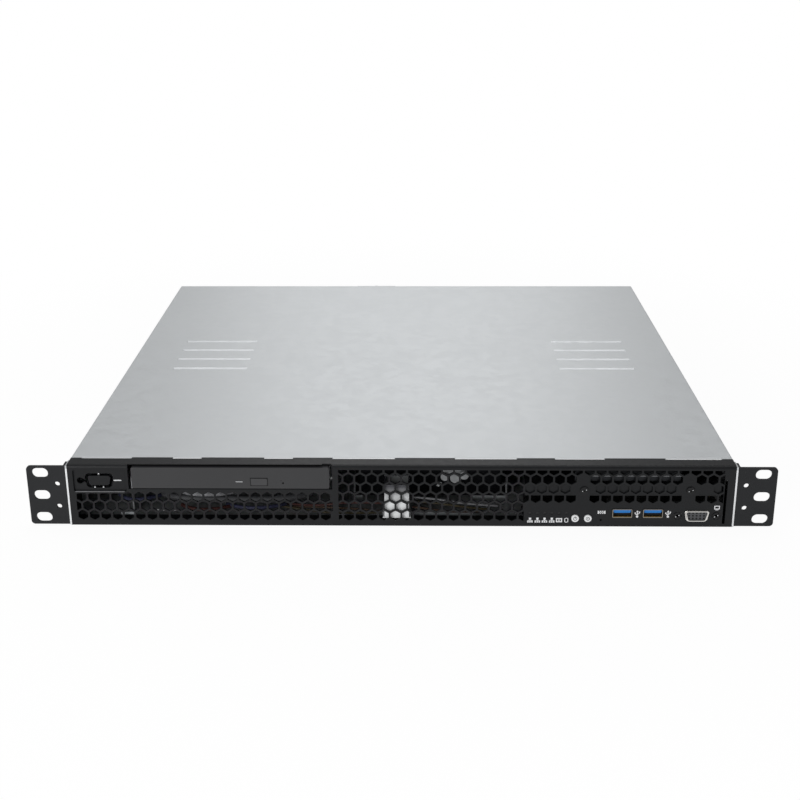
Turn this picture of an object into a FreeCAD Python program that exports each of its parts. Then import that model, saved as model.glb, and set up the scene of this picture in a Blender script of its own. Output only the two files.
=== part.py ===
import FreeCAD, Part
import math
import os

V = FreeCAD.Vector

# Short rack server, 1U. Millimetres: x runs left to right seen from the front, y from the front face
# to the rear and z up from the underside. Every piece is shifted along y when it is written, so that the
# origin lies below the middle of the whole server.

# Enclosure
ear_width = 25.3
body_width = 432.0
height = 43.0
depth = 381.0
sheet = 1.0
panel_sheet = 1.2
ear_sheet = 1.6
fit = 0.3
slip = 0.1
bend_radius = 2.2

# Rack ears
slot_edge = 8.75
slot_level = 21.5
slot_pitch = 15.875
slot_length = 10.5
slot_height = 7.0
ear_corner = 2.5
ear_hole_edge = 6.0
ear_hole_rise = 8.0
ear_hole_radius = 1.7
ear_margin = 0.6
ear_return = 7.0
ear_tail = 34.0
ear_tail_low = 4.0
ear_tail_high = 28.0
ear_screw_places = ((13.0, 10.0), (13.0, 22.0), (27.0, 16.0))
screw_radius = 1.5
screw_head_radius = 2.9
screw_head = 1.1
panel_screw_head = 0.75

# Side walls and the groove that holds the cover
wall_front = 8.0
skirt_low = 30.0
hem_width = 2.9
flange_reach = 6.0

# Cover
tongue_slope = 2.7
tongue_drop = 0.35
lip_depth = 10.0
tab_depth = 11.5
side_tab_depth = 10.8
lip_under = 20.0
lip_end = 208.0
louvre_first = 166.3
louvre_pitch = 20.0
louvre_count = 4
louvre_inner = 121.0
louvre_length = 60.0
louvre_run = 3.6
louvre_drop = 1.7
closing_x = -27.7
closing_level = 37.0
closing_width = 36.0
closing_drop = 11.5
thumb_radius = 5.0
thumb_length = 4.0
washer_radius = 3.6
washer_thick = 0.6

# Hexagon grille of the front panel
hex_pitch = 7.55
hex_across = 6.3
hex_row_pitch = 6.57
hex_first_x = -207.0
hex_first_row = 7.3
grille_left = -210.5
grille_start = -40.0
grille_middle = 80.0
grille_right = 208.0
grille_top = 40.1

# Relief slot between the grille and the right side flange
corner_slot_left = 208.3
corner_slot_right = 210.1
corner_slot_top = 33.5

# Serial port knock-out in its pressed recess
recess_left = -211.5
recess_right = -177.0
recess_low = 24.1
recess_slope = 0.9
recess_high = 39.7
recess_depth = 1.2
recess_corner = 1.5
knockout_x = -194.9
knockout_level = 31.5
knockout_half_height = 5.1
knockout_groove = 1.8
knockout_pinhole = 2.2

# Optical drive
bay_left = -175.8
bay_right = -43.8
bay_low = 26.1
bay_edge = 3.2
bay_undercut = 2.0
bezel_left = -173.5
bezel_width = 127.8
bezel_low = 26.8
bezel_height = 14.7
bezel_depth = 5.0
bezel_proud = 0.3
drive_depth = 129.0
drive_low = 27.6
drive_height = 12.4
drive_sheet = 0.6
tray_height = 5.6
disc_radius = 60.4
disc_well = 1.6
hub_radius = 7.3
platter_radius = 15.0
eject_x = -91.0
eject_level = 31.6
eject_width = 10.4
eject_height = 4.6
eject_travel = 0.6
pinhole_x = -75.5
pinhole_level = 30.7
pinhole_radius = 0.6
sled_travel = 14.0

# Front connectors and buttons
board_face = 10.0
board_thick = 1.6
led_level = 9.5
led_places = (84.0, 88.8, 93.5, 98.2, 102.9, 107.6)
led_radius = 0.9
power_x = 113.3
location_x = 121.5
button_level = 6.0
button_radius = 2.4
button_proud = 0.8
button_travel = 0.5
reset_x = 130.0
reset_level = 4.7
reset_radius = 0.7
usb_places = (143.65, 163.4)
usb_level = 9.6
usb_width = 12.8
usb_height = 6.0
usb_shell = 0.45
vga_x = 191.75
vga_level = 7.9
vga_top_half = 7.6
vga_bottom_half = 5.8
vga_half_height = 3.6
vga_corner = 1.6
vga_shell = 0.5
jack_spacing = 25.0
jack_across = 4.6
bracket_low = 21.7
bracket_high = 30.0
bracket_left = 80.5
bracket_right = 206.5
shelf_depth = 84.0
panel_screw_places = (118.5, 186.7)
panel_screw_level = 25.9

# Drives
ssd_width = 69.85
ssd_length = 100.0
ssd_height = 7.0
ssd_left = 112.0
ssd_front = 2.6
ssd_level = 31.4
hdd_width = 101.6
hdd_length = 147.0
hdd_height = 26.1
hdd_level = 3.5
hdd_front_x = 20.0
hdd_front_y = 36.0
hdd_rear_x = -36.0
hdd_rear_y = 215.0
cradle_wall = 15.0

# Fans
fan_size = 38.0
fan_depth = 20.0
fan_rim = 0.8
fan_hub = 10.0
fan_blades = 7
blade_chord = 13.0
blade_curve = 11.0
blade_thick = 1.1
blade_lean = 42.0
fan_places = (66.0, 118.0, 170.0)
fan_wall_y = 185.0
fan_wall_left = 44.0
fan_wall_right = 207.0
cable_gap_x = 92.0
cable_gap_level = 11.5

# Main board
main_left = 38.0
main_width = 170.0
main_rear_gap = 3.0
main_length = 170.0
main_level = 7.0
main_inset = 6.35
standoff_radius = 3.0
socket_from_left = 78.0
socket_from_front = 64.0
socket_width = 46.0
socket_height = 4.4
sink_width = 84.0
sink_length = 88.0
sink_base = 4.0
sink_top = 39.0
fin_count = 20
fin_thick = 0.9
memory_places = (178.0, 190.0)
memory_length = 133.4
memory_inset = 6.0
memory_height = 18.8
memory_thick = 3.4
port_places = (58.0, 80.0, 102.0, 124.0)
vga_rear_x = 156.0
port_width = 16.4
port_height = 26.0
port_depth = 22.0
io_left = 42.0
io_right = 200.0
io_low = 6.5
io_high = 38.0

# Power supply
psu_left = -207.5
psu_width = 100.0
psu_length = 189.0
psu_high = 40.0
psu_fan_x = -181.0
psu_fan_size = 36.0
inlet_x = -131.0
inlet_level = 17.0
inlet_width = 27.6
inlet_height = 20.0
rocker_level = 34.0
rocker_width = 10.0
rocker_height = 6.0
rocker_tilt = 16.0

# Cables
cable_radius = 3.0
thin_cable_radius = 2.0

# Worked out
half_body = body_width / 2
wall_inner = half_body - sheet
cover_half = half_body - 0.5
skirt_inner = cover_half - sheet
upper_outer = skirt_inner - fit
hem_inner = cover_half - hem_width
groove_outer = hem_inner - fit
shelf_top = skirt_low - fit
step_low = skirt_low + sheet + fit
flange_top = height - panel_sheet - slip
rear_wall = depth - 2 * sheet
front_reach = button_proud
rear_reach = depth + washer_thick + slip + thumb_length
middle = (rear_reach - front_reach) / 2
drive_x = bezel_left + bezel_width / 2
floor = sheet
main_front = depth - main_rear_gap - main_length
socket_x = main_left + socket_from_left
socket_y = main_front + socket_from_front
memory_front = main_front + memory_inset
psu_front = rear_wall - psu_length

# Lip of the front panel: where it laps over the cover, and where the cover's tongues come forward.
tab_ranges = ((-175.0, -148.5), (-129.3, -88.8), (-69.7, -44.3), (-3.3, 35.3), (75.8, 100.0), (132.7, 171.5))


def box(x0, x1, y0, y1, z0, z1):
    return Part.makeBox(x1 - x0, y1 - y0, z1 - z0, V(x0, y0, z0))


def rod(x, y, z, radius, length, axis=(0, 1, 0)):
    return Part.makeCylinder(radius, length, V(x, y, z), V(*axis))


def joined(shapes):
    shapes = list(shapes)
    if len(shapes) == 1:
        return shapes[0]
    return shapes[0].multiFuse(shapes[1:]).removeSplitter()


def group(shapes):
    return Part.makeCompound(list(shapes))


def mirrored(shape):
    return shape.mirror(V(0, 0, 0), V(1, 0, 0))


def place_on(axis, level):
    if axis == "x":
        return lambda p: V(level, p.x, p.y)
    if axis == "y":
        return lambda p: V(p.x, level, p.y)
    return lambda p: V(p.x, p.y, level)


# A closed wire through corner points, each corner rounded by its radius.
def outline(points, radii, place):
    if not isinstance(radii, (list, tuple)):
        radii = [radii] * len(points)
    corners = []
    for index, point in enumerate(points):
        corner = V(point[0], point[1], 0)
        before = V(*points[index - 1], 0) - corner
        after = V(*points[(index + 1) % len(points)], 0) - corner
        if radii[index] == 0:
            corners.append((corner, None, corner))
            continue
        half = before.getAngle(after) / 2
        before.normalize()
        after.normalize()
        reach = radii[index] / math.tan(half)
        inward = (before + after).normalize()
        nearest = corner + inward * (radii[index] / math.sin(half) - radii[index])
        corners.append((corner + before * reach, nearest, corner + after * reach))
    edges = []
    for index, (start, nearest, end) in enumerate(corners):
        following = corners[(index + 1) % len(corners)][0]
        if nearest is not None:
            edges.append(Part.Arc(place(start), place(nearest), place(end)).toShape())
        if (following - end).Length > 1e-6:
            edges.append(Part.makeLine(place(end), place(following)))
    return Part.Wire(edges)


def prism(points, radii, axis, start, end):
    face = Part.Face(outline(points, radii, place_on(axis, start)))
    return face.extrude(place_on(axis, end - start)(V(0, 0, 0)))


def rectangle(x0, x1, z0, z1):
    return [(x0, z0), (x1, z0), (x1, z1), (x0, z1)]


def d_shape(x, level, top_half, bottom_half, half_height):
    low = level - half_height
    high = level + half_height
    return [(x - bottom_half, low), (x + bottom_half, low), (x + top_half, high), (x - top_half, high)]


def circle(x, z, radius, y):
    return Part.Wire([Part.Circle(V(x, y, z), V(0, 1, 0), radius).toShape()])


def polygon(x, z, radius, sides):
    turns = [math.radians(30 + 360 / sides * i) for i in range(sides)]
    return [(x + radius * math.cos(a), z + radius * math.sin(a)) for a in turns]


def hexagon(x, z, across):
    return polygon(x, z, across / math.sqrt(3), 6)


# Small shanks, posts and holes that repeat have eight sides instead of a round, to keep the model light.
def stud(u, v, radius, axis, start, end):
    return prism(polygon(u, v, radius, 8), 0, axis, start, end)


# Keeps the part of a convex outline on one side of a line at right angles to x (axis 0) or z (axis 1).
def kept_side(points, axis, limit, sign):
    kept = []
    for index, end in enumerate(points):
        start = points[index - 1]
        start_in = sign * (limit - start[axis]) >= 0
        end_in = sign * (limit - end[axis]) >= 0
        if start_in != end_in:
            share = (limit - start[axis]) / (end[axis] - start[axis])
            kept.append(tuple(start[i] + share * (end[i] - start[i]) for i in (0, 1)))
        if end_in:
            kept.append(end)
    return kept


def hex_field(row, left, right, skipped=()):
    offset = 0.0 if row % 2 == 0 else hex_pitch / 2
    level = hex_first_row + row * hex_row_pitch
    found = []
    columns = int((right - hex_first_x) / hex_pitch) + 2
    for column in range(-1, columns):
        x = hex_first_x + offset + column * hex_pitch
        points = hexagon(x, level, hex_across)
        points = kept_side(points, 0, left, -1)
        points = kept_side(points, 0, right, 1)
        points = kept_side(points, 1, grille_top, 1)
        wide = len(points) > 2 and max(p[0] for p in points) - min(p[0] for p in points) > 1.2
        if wide and not any(abs(x - place) < reach for place, reach in skipped):
            found.append(points)
    return found


def grille_holes():
    left_screw, right_screw = panel_screw_places
    beside_screws = ((left_screw, 5.0), (right_screw, 5.0))
    around_screws = ((left_screw, 5.0), (right_screw, 11.0))
    holes = []
    for row in range(3):
        holes += hex_field(row, grille_left, bay_right)
    for row in range(2):
        holes += hex_field(row, grille_start, grille_middle)
    for row, skipped in ((2, beside_screws), (3, around_screws), (4, beside_screws), (5, ())):
        holes += hex_field(row, grille_start, grille_right, skipped)
    return holes


def knockout():
    upper = (9.5, 8.0)
    rise = knockout_half_height
    outer = d_shape(knockout_x, knockout_level, *upper, rise)
    lower = [half - knockout_groove for half in upper]
    inner = d_shape(knockout_x, knockout_level, *lower, rise - knockout_groove)
    y0 = recess_depth - 1
    y1 = recess_depth + panel_sheet + 1
    groove = prism(outer, 2.6, "y", y0, y1).cut(prism(inner, 1.6, "y", y0, y1))
    for x, level in ((knockout_x, 4.4), (knockout_x - 3, -4.4), (knockout_x + 2.5, -4.4)):
        z = knockout_level + level
        groove = groove.cut(box(x - 0.6, x + 0.6, y0, y1, z - 1.5, z + 1.5))
    hole = rod(knockout_x - 12.3, y0, knockout_level, knockout_pinhole, y1 - y0)
    slot = box(knockout_x - 12.3, knockout_x - 8, y0, y1, knockout_level - 1.2, knockout_level + 1.2)
    slit = box(knockout_x + 8.2, knockout_x + 14.5, y0, y1, knockout_level - 0.5, knockout_level + 0.5)
    return joined([groove, hole, slot, slit])


def front_panel():
    place = place_on("y", 0)
    wires = [outline(rectangle(-wall_inner, wall_inner, 0, grille_top + 0.4), 0, place)]
    wires += [outline(points, 0, place) for points in grille_holes()]
    for x in led_places:
        wires.append(circle(x, led_level, led_radius + slip, 0))
    for x in (power_x, location_x):
        wires.append(circle(x, button_level, button_radius + 0.2, 0))
    wires.append(circle(reset_x, reset_level, reset_radius, 0))
    for x in panel_screw_places:
        wires.append(outline(polygon(x, panel_screw_level, screw_radius + slip, 8), 0, place))
    for x in usb_places:
        half = usb_width / 2 + fit
        rise = usb_height / 2 + fit
        wires.append(outline(rectangle(x - half, x + half, usb_level - rise, usb_level + rise), 0.8, place))
    wires.append(outline(vga_face(-fit), vga_corner + fit, place))
    for side in (-1, 1):
        wires.append(circle(vga_x + side * jack_spacing / 2, vga_level, jack_across / math.sqrt(3) + slip, 0))
    wires.append(outline(rectangle(recess_left, recess_right, recess_low, recess_high), recess_corner, place))
    plate = Part.makeFace(wires, "Part::FaceMakerBullseye").extrude(V(0, panel_sheet, 0))
    head_low = grille_top + 0.4
    head = [(0, head_low), (0, height), (lip_depth, height), (lip_depth, height - panel_sheet),
            (panel_sheet, height - panel_sheet), (panel_sheet, head_low)]
    lip = prism(head, [0, bend_radius, 0, 0, bend_radius - panel_sheet, 0], "x", -wall_inner, wall_inner)
    solids = [plate, lip]
    for x0, x1 in tab_ranges:
        solids.append(box(x0, x1, lip_depth - 1, tab_depth, height - panel_sheet, height))
    for x0, x1 in ((-wall_inner, -lip_end), (lip_end, wall_inner)):
        solids.append(box(x0, x1, lip_depth - 1, side_tab_depth, height - panel_sheet, height))
    under_low = height - panel_sheet - sheet
    solids.append(box(-lip_end + 1, lip_end - 1, lip_depth - 1.2, lip_under, under_low, height - panel_sheet))
    side = [(panel_sheet, floor), (22, floor + 2), (22, 27), (wall_front - 0.2, 28.5), (wall_front - 0.2, 41),
            (panel_sheet, 41)]
    right_side = prism(side, 0, "x", wall_inner - panel_sheet, wall_inner)
    solids += [right_side, mirrored(right_side)]
    solids.append(box(-wall_inner, wall_inner, 0.2, board_face, floor, floor + panel_sheet))
    rim = rectangle(recess_left - panel_sheet, recess_right + panel_sheet, recess_low - panel_sheet,
                    recess_high + panel_sheet)
    pan = prism(rim, recess_corner + panel_sheet, "y", 0, recess_depth + panel_sheet)
    well = rectangle(recess_left, recess_right, recess_low, recess_high)
    pan = pan.cut(prism(well, recess_corner, "y", -1, recess_depth))
    sill = [(0, recess_low), (recess_depth, recess_low), (recess_depth, recess_low + recess_slope)]
    solids.append(prism(sill, 0, "x", recess_left + recess_corner, recess_right - recess_corner))
    solids.append(pan)
    panel = joined(solids)
    lip_low = height - panel_sheet
    mouth = [(-1, bay_low), (bay_edge, bay_low), (bay_edge, lip_low), (bay_edge - bay_undercut, height + 0.1),
             (-1, height + 0.1)]
    bay = prism(mouth, 0, "x", bay_left, bay_right)
    relief_left = box(bay_left + 0.4, bay_left + 6.4, -1, 1.7, bay_low, height + 1)
    relief_right = box(bay_right - 6.4, bay_right - 0.4, -1, 3.0, bay_low, height + 1)
    holes = ear_screw_holes()
    slot_low = floor + panel_sheet
    corner_slot = box(corner_slot_left, corner_slot_right, -1, panel_sheet + slip, slot_low, corner_slot_top)
    return panel.cut([bay, relief_left, relief_right, knockout(), corner_slot] + holes)


def obround(x, z, length, high, y0, y1):
    points = rectangle(x - length / 2, x + length / 2, z - high / 2, z + high / 2)
    return prism(points, high / 2 - 0.001, "y", y0, y1)


def ear_screw_holes():
    start = wall_inner - panel_sheet - 1
    end = half_body + ear_sheet + 1
    holes = [stud(y, z, screw_radius + slip, "x", start, end) for y, z in ear_screw_places]
    return holes + [mirrored(hole) for hole in holes]


def right_ear():
    high = height - ear_margin - 0.2
    face = rectangle(half_body, half_body + ear_width, ear_margin, high)
    plate = prism(face, [0, ear_corner, ear_corner, 0], "y", 0, ear_sheet)
    slot_x = half_body + ear_width - slot_edge
    cutters = []
    for step in (-1, 0, 1):
        z = slot_level + step * slot_pitch
        cutters.append(obround(slot_x, z, slot_length, slot_height, -1, ear_sheet + 1))
    for step in (-1, 1):
        z = slot_level + step * ear_hole_rise
        cutters.append(rod(half_body + ear_hole_edge, -1, z, ear_hole_radius, ear_sheet + 2))
    tail = [(0, ear_margin), (ear_return, ear_margin), (ear_return, ear_tail_low), (ear_tail, ear_tail_low),
            (ear_tail, ear_tail_high), (ear_return, ear_tail_high), (ear_return, high), (0, high)]
    side = prism(tail, [0, 0, 0, 3, 3, 0, 0, 0], "x", half_body, half_body + ear_sheet)
    return joined([plate, side]).cut(cutters + ear_screw_holes())


def ear_screws():
    solids = []
    for y, z in ear_screw_places:
        shank = stud(y, z, screw_radius, "x", wall_inner - 1.5, half_body + ear_sheet)
        head = stud(y, z, screw_head_radius, "x", half_body + ear_sheet, half_body + ear_sheet + screw_head)
        screw = joined([shank, head])
        solids += [screw, mirrored(screw)]
    return solids


def side_wall():
    step_high = step_low + sheet
    profile = [(half_body, 0), (half_body, shelf_top), (groove_outer, shelf_top), (groove_outer, step_low),
               (upper_outer, step_low), (upper_outer, flange_top), (upper_outer - flange_reach, flange_top),
               (upper_outer - flange_reach, flange_top - sheet), (upper_outer - sheet, flange_top - sheet),
               (upper_outer - sheet, step_high), (groove_outer - sheet, step_high),
               (groove_outer - sheet, shelf_top - sheet), (wall_inner, shelf_top - sheet), (wall_inner, 0)]
    wall = prism(profile, 0, "y", wall_front, depth - sheet)
    front = box(wall_inner, half_body, 0, wall_front, 0, height - 0.5)
    web = box(wall_inner, half_body, wall_front - sheet, wall_front + sheet, 0, shelf_top)
    return joined([wall, front, web])


def chassis_tray():
    right = side_wall()
    base = box(-wall_inner, wall_inner, panel_sheet, depth - sheet, 0, floor)
    rear = box(-wall_inner, wall_inner, rear_wall, depth - sheet, 0, shelf_top - sheet)
    top_half = groove_outer - sheet
    rear_top = box(-top_half, top_half, rear_wall, depth - sheet, shelf_top - sheet, flange_top)
    tray = joined([base, rear, rear_top, right, mirrored(right)])
    y0 = rear_wall - 1
    y1 = depth + 1
    cutters = [prism(rectangle(io_left, io_right, io_low, io_high), 1.0, "y", y0, y1)]
    notch = box(louvre_inner - 1, louvre_inner + louvre_length + 1, y0, y1, psu_high, height)
    cutters += [notch, mirrored(notch)]
    psu_window = rectangle(psu_left + 3, psu_left + psu_width - 3, floor + 2, psu_high - 2)
    cutters.append(prism(psu_window, 1.5, "y", y0, y1))
    for step in range(12):
        x = hdd_rear_x - 55 + step * 10
        cutters.append(box(x - 2, x + 2, y0, y1, 8, 28))
    cutters.append(rod(closing_x, y0, closing_level, screw_radius + slip, 4))
    return tray.cut(cutters + ear_screw_holes())


def louvre(index):
    y0 = louvre_first + index * louvre_pitch
    y1 = y0 + louvre_run
    x0 = louvre_inner
    x1 = louvre_inner + louvre_length
    under = height - sheet
    flap = [(y0, height - louvre_drop), (y1, height), (y1, under), (y0, under - louvre_drop)]
    cheek = [(y0, height), (y1, height), (y1, under), (y0, under - louvre_drop)]
    solids = [prism(flap, 0, "x", x0, x1)]
    solids.append(prism(cheek, 0, "x", x0, x0 + sheet))
    solids.append(prism(cheek, 0, "x", x1 - sheet, x1))
    return box(x0, x1, y0, y1, under - 1, height + 1), joined(solids)


def tongue(x0, x1):
    under = height - sheet
    y0 = lip_depth + fit
    y1 = lip_depth + fit + tongue_slope
    profile = [(y0, under), (y1 + fit, under), (y1 + fit, height), (y1, height), (y0, height - tongue_drop)]
    return prism(profile, 0, "x", x0, x1)


def top_cover():
    half = [(cover_half, height), (cover_half, skirt_low), (hem_inner, skirt_low),
            (hem_inner, skirt_low + sheet),
            (skirt_inner, skirt_low + sheet), (skirt_inner, height - sheet)]
    profile = half + [(-x, z) for x, z in reversed(half)]
    radii = [1.4, 0, 0, 0, 0, 0.4, 0.4, 0, 0, 0, 0, 1.4]
    cover = prism(profile, radii, "y", wall_front + fit, depth - sheet)
    front = wall_front - 1
    plate_front = lip_depth + 2 * fit + tongue_slope
    low = height - 2 * sheet
    cutters = [box(-cover_half - 1, cover_half + 1, front, side_tab_depth + fit, low, height + 1)]
    cutters.append(box(-lip_end, lip_end, front, plate_front, low, height + 1))
    additions = []
    left = -lip_end
    for x0, x1 in tab_ranges:
        additions.append(tongue(left + (fit if left > -lip_end else 0), x0 - fit))
        additions.append(box(x0 - fit, x1 + fit, tab_depth + fit, plate_front, height - sheet, height))
        left = x1
    additions.append(tongue(left + fit, lip_end))
    for index in range(louvre_count):
        window, flap = louvre(index)
        cutters += [window, mirrored(window)]
        additions += [flap, mirrored(flap)]
    tab = rectangle(closing_x - closing_width / 2, closing_x + closing_width / 2, height - closing_drop,
                    height)
    additions.append(prism(tab, [3, 3, 0, 0], "y", depth - sheet, depth))
    cover = joined([cover.cut(cutters)] + additions)
    return cover.cut(rod(closing_x, depth - 2, closing_level, screw_radius + slip, 4))


def thumbscrew_washer():
    ring = rod(closing_x, depth, closing_level, washer_radius, washer_thick)
    return ring.cut(rod(closing_x, depth - 1, closing_level, screw_radius + 0.05, washer_thick + 2))


def thumbscrew():
    seat = depth + washer_thick + slip
    head = prism(polygon(closing_x, closing_level, thumb_radius, 18), 0, "y", seat, seat + thumb_length)
    shank = rod(closing_x, depth - 6, closing_level, screw_radius, seat - depth + 6.5)
    return joined([head, shank])


def black_screws():
    solids = list(ear_screws())
    for x in panel_screw_places:
        head = stud(x, panel_screw_level, screw_head_radius, "y", -panel_screw_head, 0)
        shank = stud(x, panel_screw_level, screw_radius, "y", 0, panel_sheet + sheet + 1.5)
        solids.append(joined([head, shank]))
    return group(solids)


def drive_shelf():
    under = drive_low - panel_sheet
    left = bay_left - sheet
    right = bay_right
    profile = [(left - 9, floor), (left, floor), (left, under), (right, under), (right, floor),
               (right + 8, floor),
               (right + 8, floor + sheet), (right + sheet, floor + sheet), (right + sheet, drive_low),
               (left - sheet, drive_low), (left - sheet, floor + sheet), (left - 9, floor + sheet)]
    shelf = prism(profile, 0, "y", 14, drive_depth + 4)
    window = box(bay_left + 18, bay_right - 18, 34, drive_depth - 22, under - 1, drive_low + 1)
    opening = rectangle(28, drive_depth - 14, 8, 20)
    side_window = prism(opening, 4, "x", left - 3, right + 3)
    return shelf.cut([window, side_window])


def optical_case():
    x0 = drive_x - bezel_width / 2 - 0.1
    x1 = drive_x + bezel_width / 2 + 0.1
    y0 = bezel_depth + fit
    top = drive_low + drive_height
    outer = box(x0, x1, y0, drive_depth, drive_low, top)
    inner = box(x0 + drive_sheet, x1 - drive_sheet, y0 - 1, drive_depth - drive_sheet,
                drive_low + drive_sheet,
                top - drive_sheet)
    emboss = prism([(x0 + 18, y0 + 16), (x1 - 18, y0 + 16), (x1 - 18, drive_depth - 18),
                    (x0 + 18, drive_depth - 18)],
                   9, "z", top - drive_sheet, top + 0.8 - drive_sheet)
    return joined([outer.cut(inner), emboss])


tray_low = drive_low + drive_sheet + 1.6
tray_top = tray_low + tray_height
disc_y = bezel_depth + disc_radius + 1.2
well_floor = tray_low + 1.2
sled_x0 = drive_x + platter_radius + 4
sled_length = 20.0
sled_half = 11.0


def optical_tray():
    high = bezel_low + bezel_height
    bezel_face = rectangle(bezel_left, bezel_left + bezel_width, bezel_low, high)
    bezel = prism(bezel_face, 1.0, "y", -bezel_proud, bezel_depth)
    pocket = rectangle(eject_x - eject_width / 2 - 0.25, eject_x + eject_width / 2 + 0.25,
                       eject_level - eject_height / 2 - 0.25, eject_level + eject_height / 2 + 0.25)
    bezel = bezel.cut([prism(pocket, 0.9, "y", -1, bezel_depth + 1),
                       rod(pinhole_x, -1, pinhole_level, pinhole_radius, bezel_depth + 2)])
    reach = bezel_width / 2 - drive_sheet - 0.5
    rear = drive_depth - 2
    plate = prism([(drive_x - reach, bezel_depth), (drive_x + reach, bezel_depth), (drive_x + reach, rear),
                   (drive_x - reach, rear)], [0, 0, 4, 4], "z", tray_low, tray_top)
    well = rod(drive_x, disc_y, tray_top - disc_well, disc_radius, disc_well + 1, (0, 0, 1))
    motor = rod(drive_x, disc_y, well_floor, platter_radius + 1, tray_height, (0, 0, 1))
    shaft = rod(drive_x, disc_y, tray_low - 1, screw_radius + 0.05, 4, (0, 0, 1))
    bed = box(sled_x0 - 2, sled_x0 + sled_length + sled_travel + 2, disc_y - sled_half - 1,
              disc_y + sled_half + 1,
              well_floor, tray_top + 1)
    tray = joined([bezel, plate]).cut([well, motor, shaft, bed])
    tray = tray.cut(prism(pocket, 0.9, "y", 1, bezel_depth + eject_travel))
    rails = []
    for side in (-1, 1):
        rails.append(rod(sled_x0 - 2.5, disc_y + side * 8, well_floor + 1.8, 0.8,
                         sled_length + sled_travel + 5,
                         (1, 0, 0)))
    return joined([tray] + rails)


def eject_button():
    face = rectangle(eject_x - eject_width / 2, eject_x + eject_width / 2, eject_level - eject_height / 2,
                     eject_level + eject_height / 2)
    return prism(face, 0.8, "y", -bezel_proud - 0.3, bezel_depth - eject_travel - slip)


def disc_spindle():
    low = well_floor + fit
    profile = [(0, tray_low + 0.2), (screw_radius, tray_low + 0.2), (screw_radius, low),
               (platter_radius, low),
               (platter_radius, low + 2.0), (hub_radius, low + 2.0), (hub_radius, low + 4.6), (0, low + 4.6)]
    face = Part.Face(Part.makePolygon([V(drive_x + r, disc_y, z) for r, z in profile + profile[:1]]))
    return face.revolve(V(drive_x, disc_y, 0), V(0, 0, 1), 360)


def laser_sled():
    low = well_floor + 0.4
    body = box(sled_x0, sled_x0 + sled_length, disc_y - sled_half + fit, disc_y + sled_half - fit, low,
               low + 2.8)
    lens = rod(sled_x0 + sled_length / 2, disc_y, low + 2.8, 2.6, 0.7, (0, 0, 1))
    holes = [rod(sled_x0 - 1, disc_y + side * 8, well_floor + 1.8, 0.9, sled_length + 2, (1, 0, 0))
             for side in (-1, 1)]
    return joined([body, lens]).cut(holes)


web_face = board_face + board_thick


def io_bracket():
    right = wall_inner - panel_sheet - fit
    flange = box(bracket_left, bracket_right, panel_sheet, panel_sheet + sheet, bracket_low, bracket_high)
    shelf = prism([(bracket_left, panel_sheet), (right, panel_sheet), (right, shelf_depth),
                   (bracket_left, shelf_depth)], [0, 0, 6, 6], "z", bracket_high - sheet, bracket_high)
    shelf = shelf.cut(box(bracket_right, right + 1, 0, web_face, bracket_high - 3, bracket_high + 3))
    shelf = shelf.cut(box(groove_outer - sheet - fit, right + 1, 0, shelf_depth + 1, bracket_high - 3,
                          bracket_high + 3))
    web_right = groove_outer - sheet - fit
    web = box(bracket_left, web_right, web_face, web_face + sheet, floor, bracket_high)
    foot = box(bracket_left, web_right, web_face, web_face + 12, floor, floor + sheet)
    windows = [prism(rectangle(x - 13, x + 13, 19, 27.5), 3, "y", web_face - 1, web_face + 2) for x in
               (102, 134, 166, 195)]
    bosses = []
    for x in (ssd_left + 4, ssd_left + ssd_width - 4):
        for y in (ssd_front + 14, ssd_front + 76.6):
            bosses.append(stud(x, y, 2.4, "z", bracket_high, ssd_level))
    holes = [stud(x, panel_screw_level, screw_radius + slip, "y", 0, 6) for x in panel_screw_places]
    return joined([flange, shelf, web, foot] + bosses).cut(windows + holes)


def io_board():
    outline_points = rectangle(bracket_left, groove_outer - sheet - fit, floor + panel_sheet + fit, 17.0)
    return prism(outline_points, 1.0, "y", board_face, web_face)


def switch_front():
    return board_face - 4.8


def io_switches():
    y0 = switch_front()
    solids = []
    for x in (power_x, location_x):
        solids.append(prism(rectangle(x - 3, x + 3, button_level - 3, button_level + 3), 0.5, "y", y0,
                            board_face))
    small = rectangle(reset_x - 2.2, reset_x + 2.2, reset_level - 1.9, reset_level + 2.5)
    solids.append(prism(small, 0.4, "y", y0, board_face))
    return group(solids)


def push_button(x):
    collar_y = panel_sheet + fit
    end = switch_front() - button_travel - slip
    cap = rod(x, -button_proud, button_level, button_radius, collar_y + button_proud + 0.7)
    collar = rod(x, collar_y, button_level, button_radius + 0.7, 0.7)
    stem = rod(x, collar_y + 0.6, button_level, 1.3, end - collar_y - 0.6)
    return joined([cap, collar, stem])


def reset_plunger():
    collar_y = panel_sheet + fit
    end = switch_front() - button_travel - slip
    head = rod(reset_x, collar_y, reset_level, 1.6, 0.8)
    return joined([head, rod(reset_x, collar_y + 0.7, reset_level, 0.9, end - collar_y - 0.7)])


def light_pipes():
    return group(stud(x, led_level, led_radius, "y", 0.2, board_face) for x in led_places)


def usb_shells():
    solids = []
    for x in usb_places:
        half = usb_width / 2
        rise = usb_height / 2
        outer = prism(rectangle(x - half, x + half, usb_level - rise, usb_level + rise), 0.7, "y", -0.4,
                      board_face)
        half -= usb_shell
        rise -= usb_shell
        inner = prism(rectangle(x - half, x + half, usb_level - rise, usb_level + rise), 0.3, "y", -1,
                      board_face - 0.6)
        solids.append(outer.cut(inner))
    return group(solids)


def usb_tongues():
    solids = []
    top = usb_level + usb_height / 2 - usb_shell - 0.1
    for x in usb_places:
        half = usb_width / 2 - usb_shell - 0.3
        solids.append(box(x - half, x + half, 0.6, board_face - 0.6, top - 2.0, top))
    return group(solids)


def vga_face(shrink):
    return d_shape(vga_x, vga_level, vga_top_half - shrink, vga_bottom_half - shrink,
                   vga_half_height - shrink)


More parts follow.
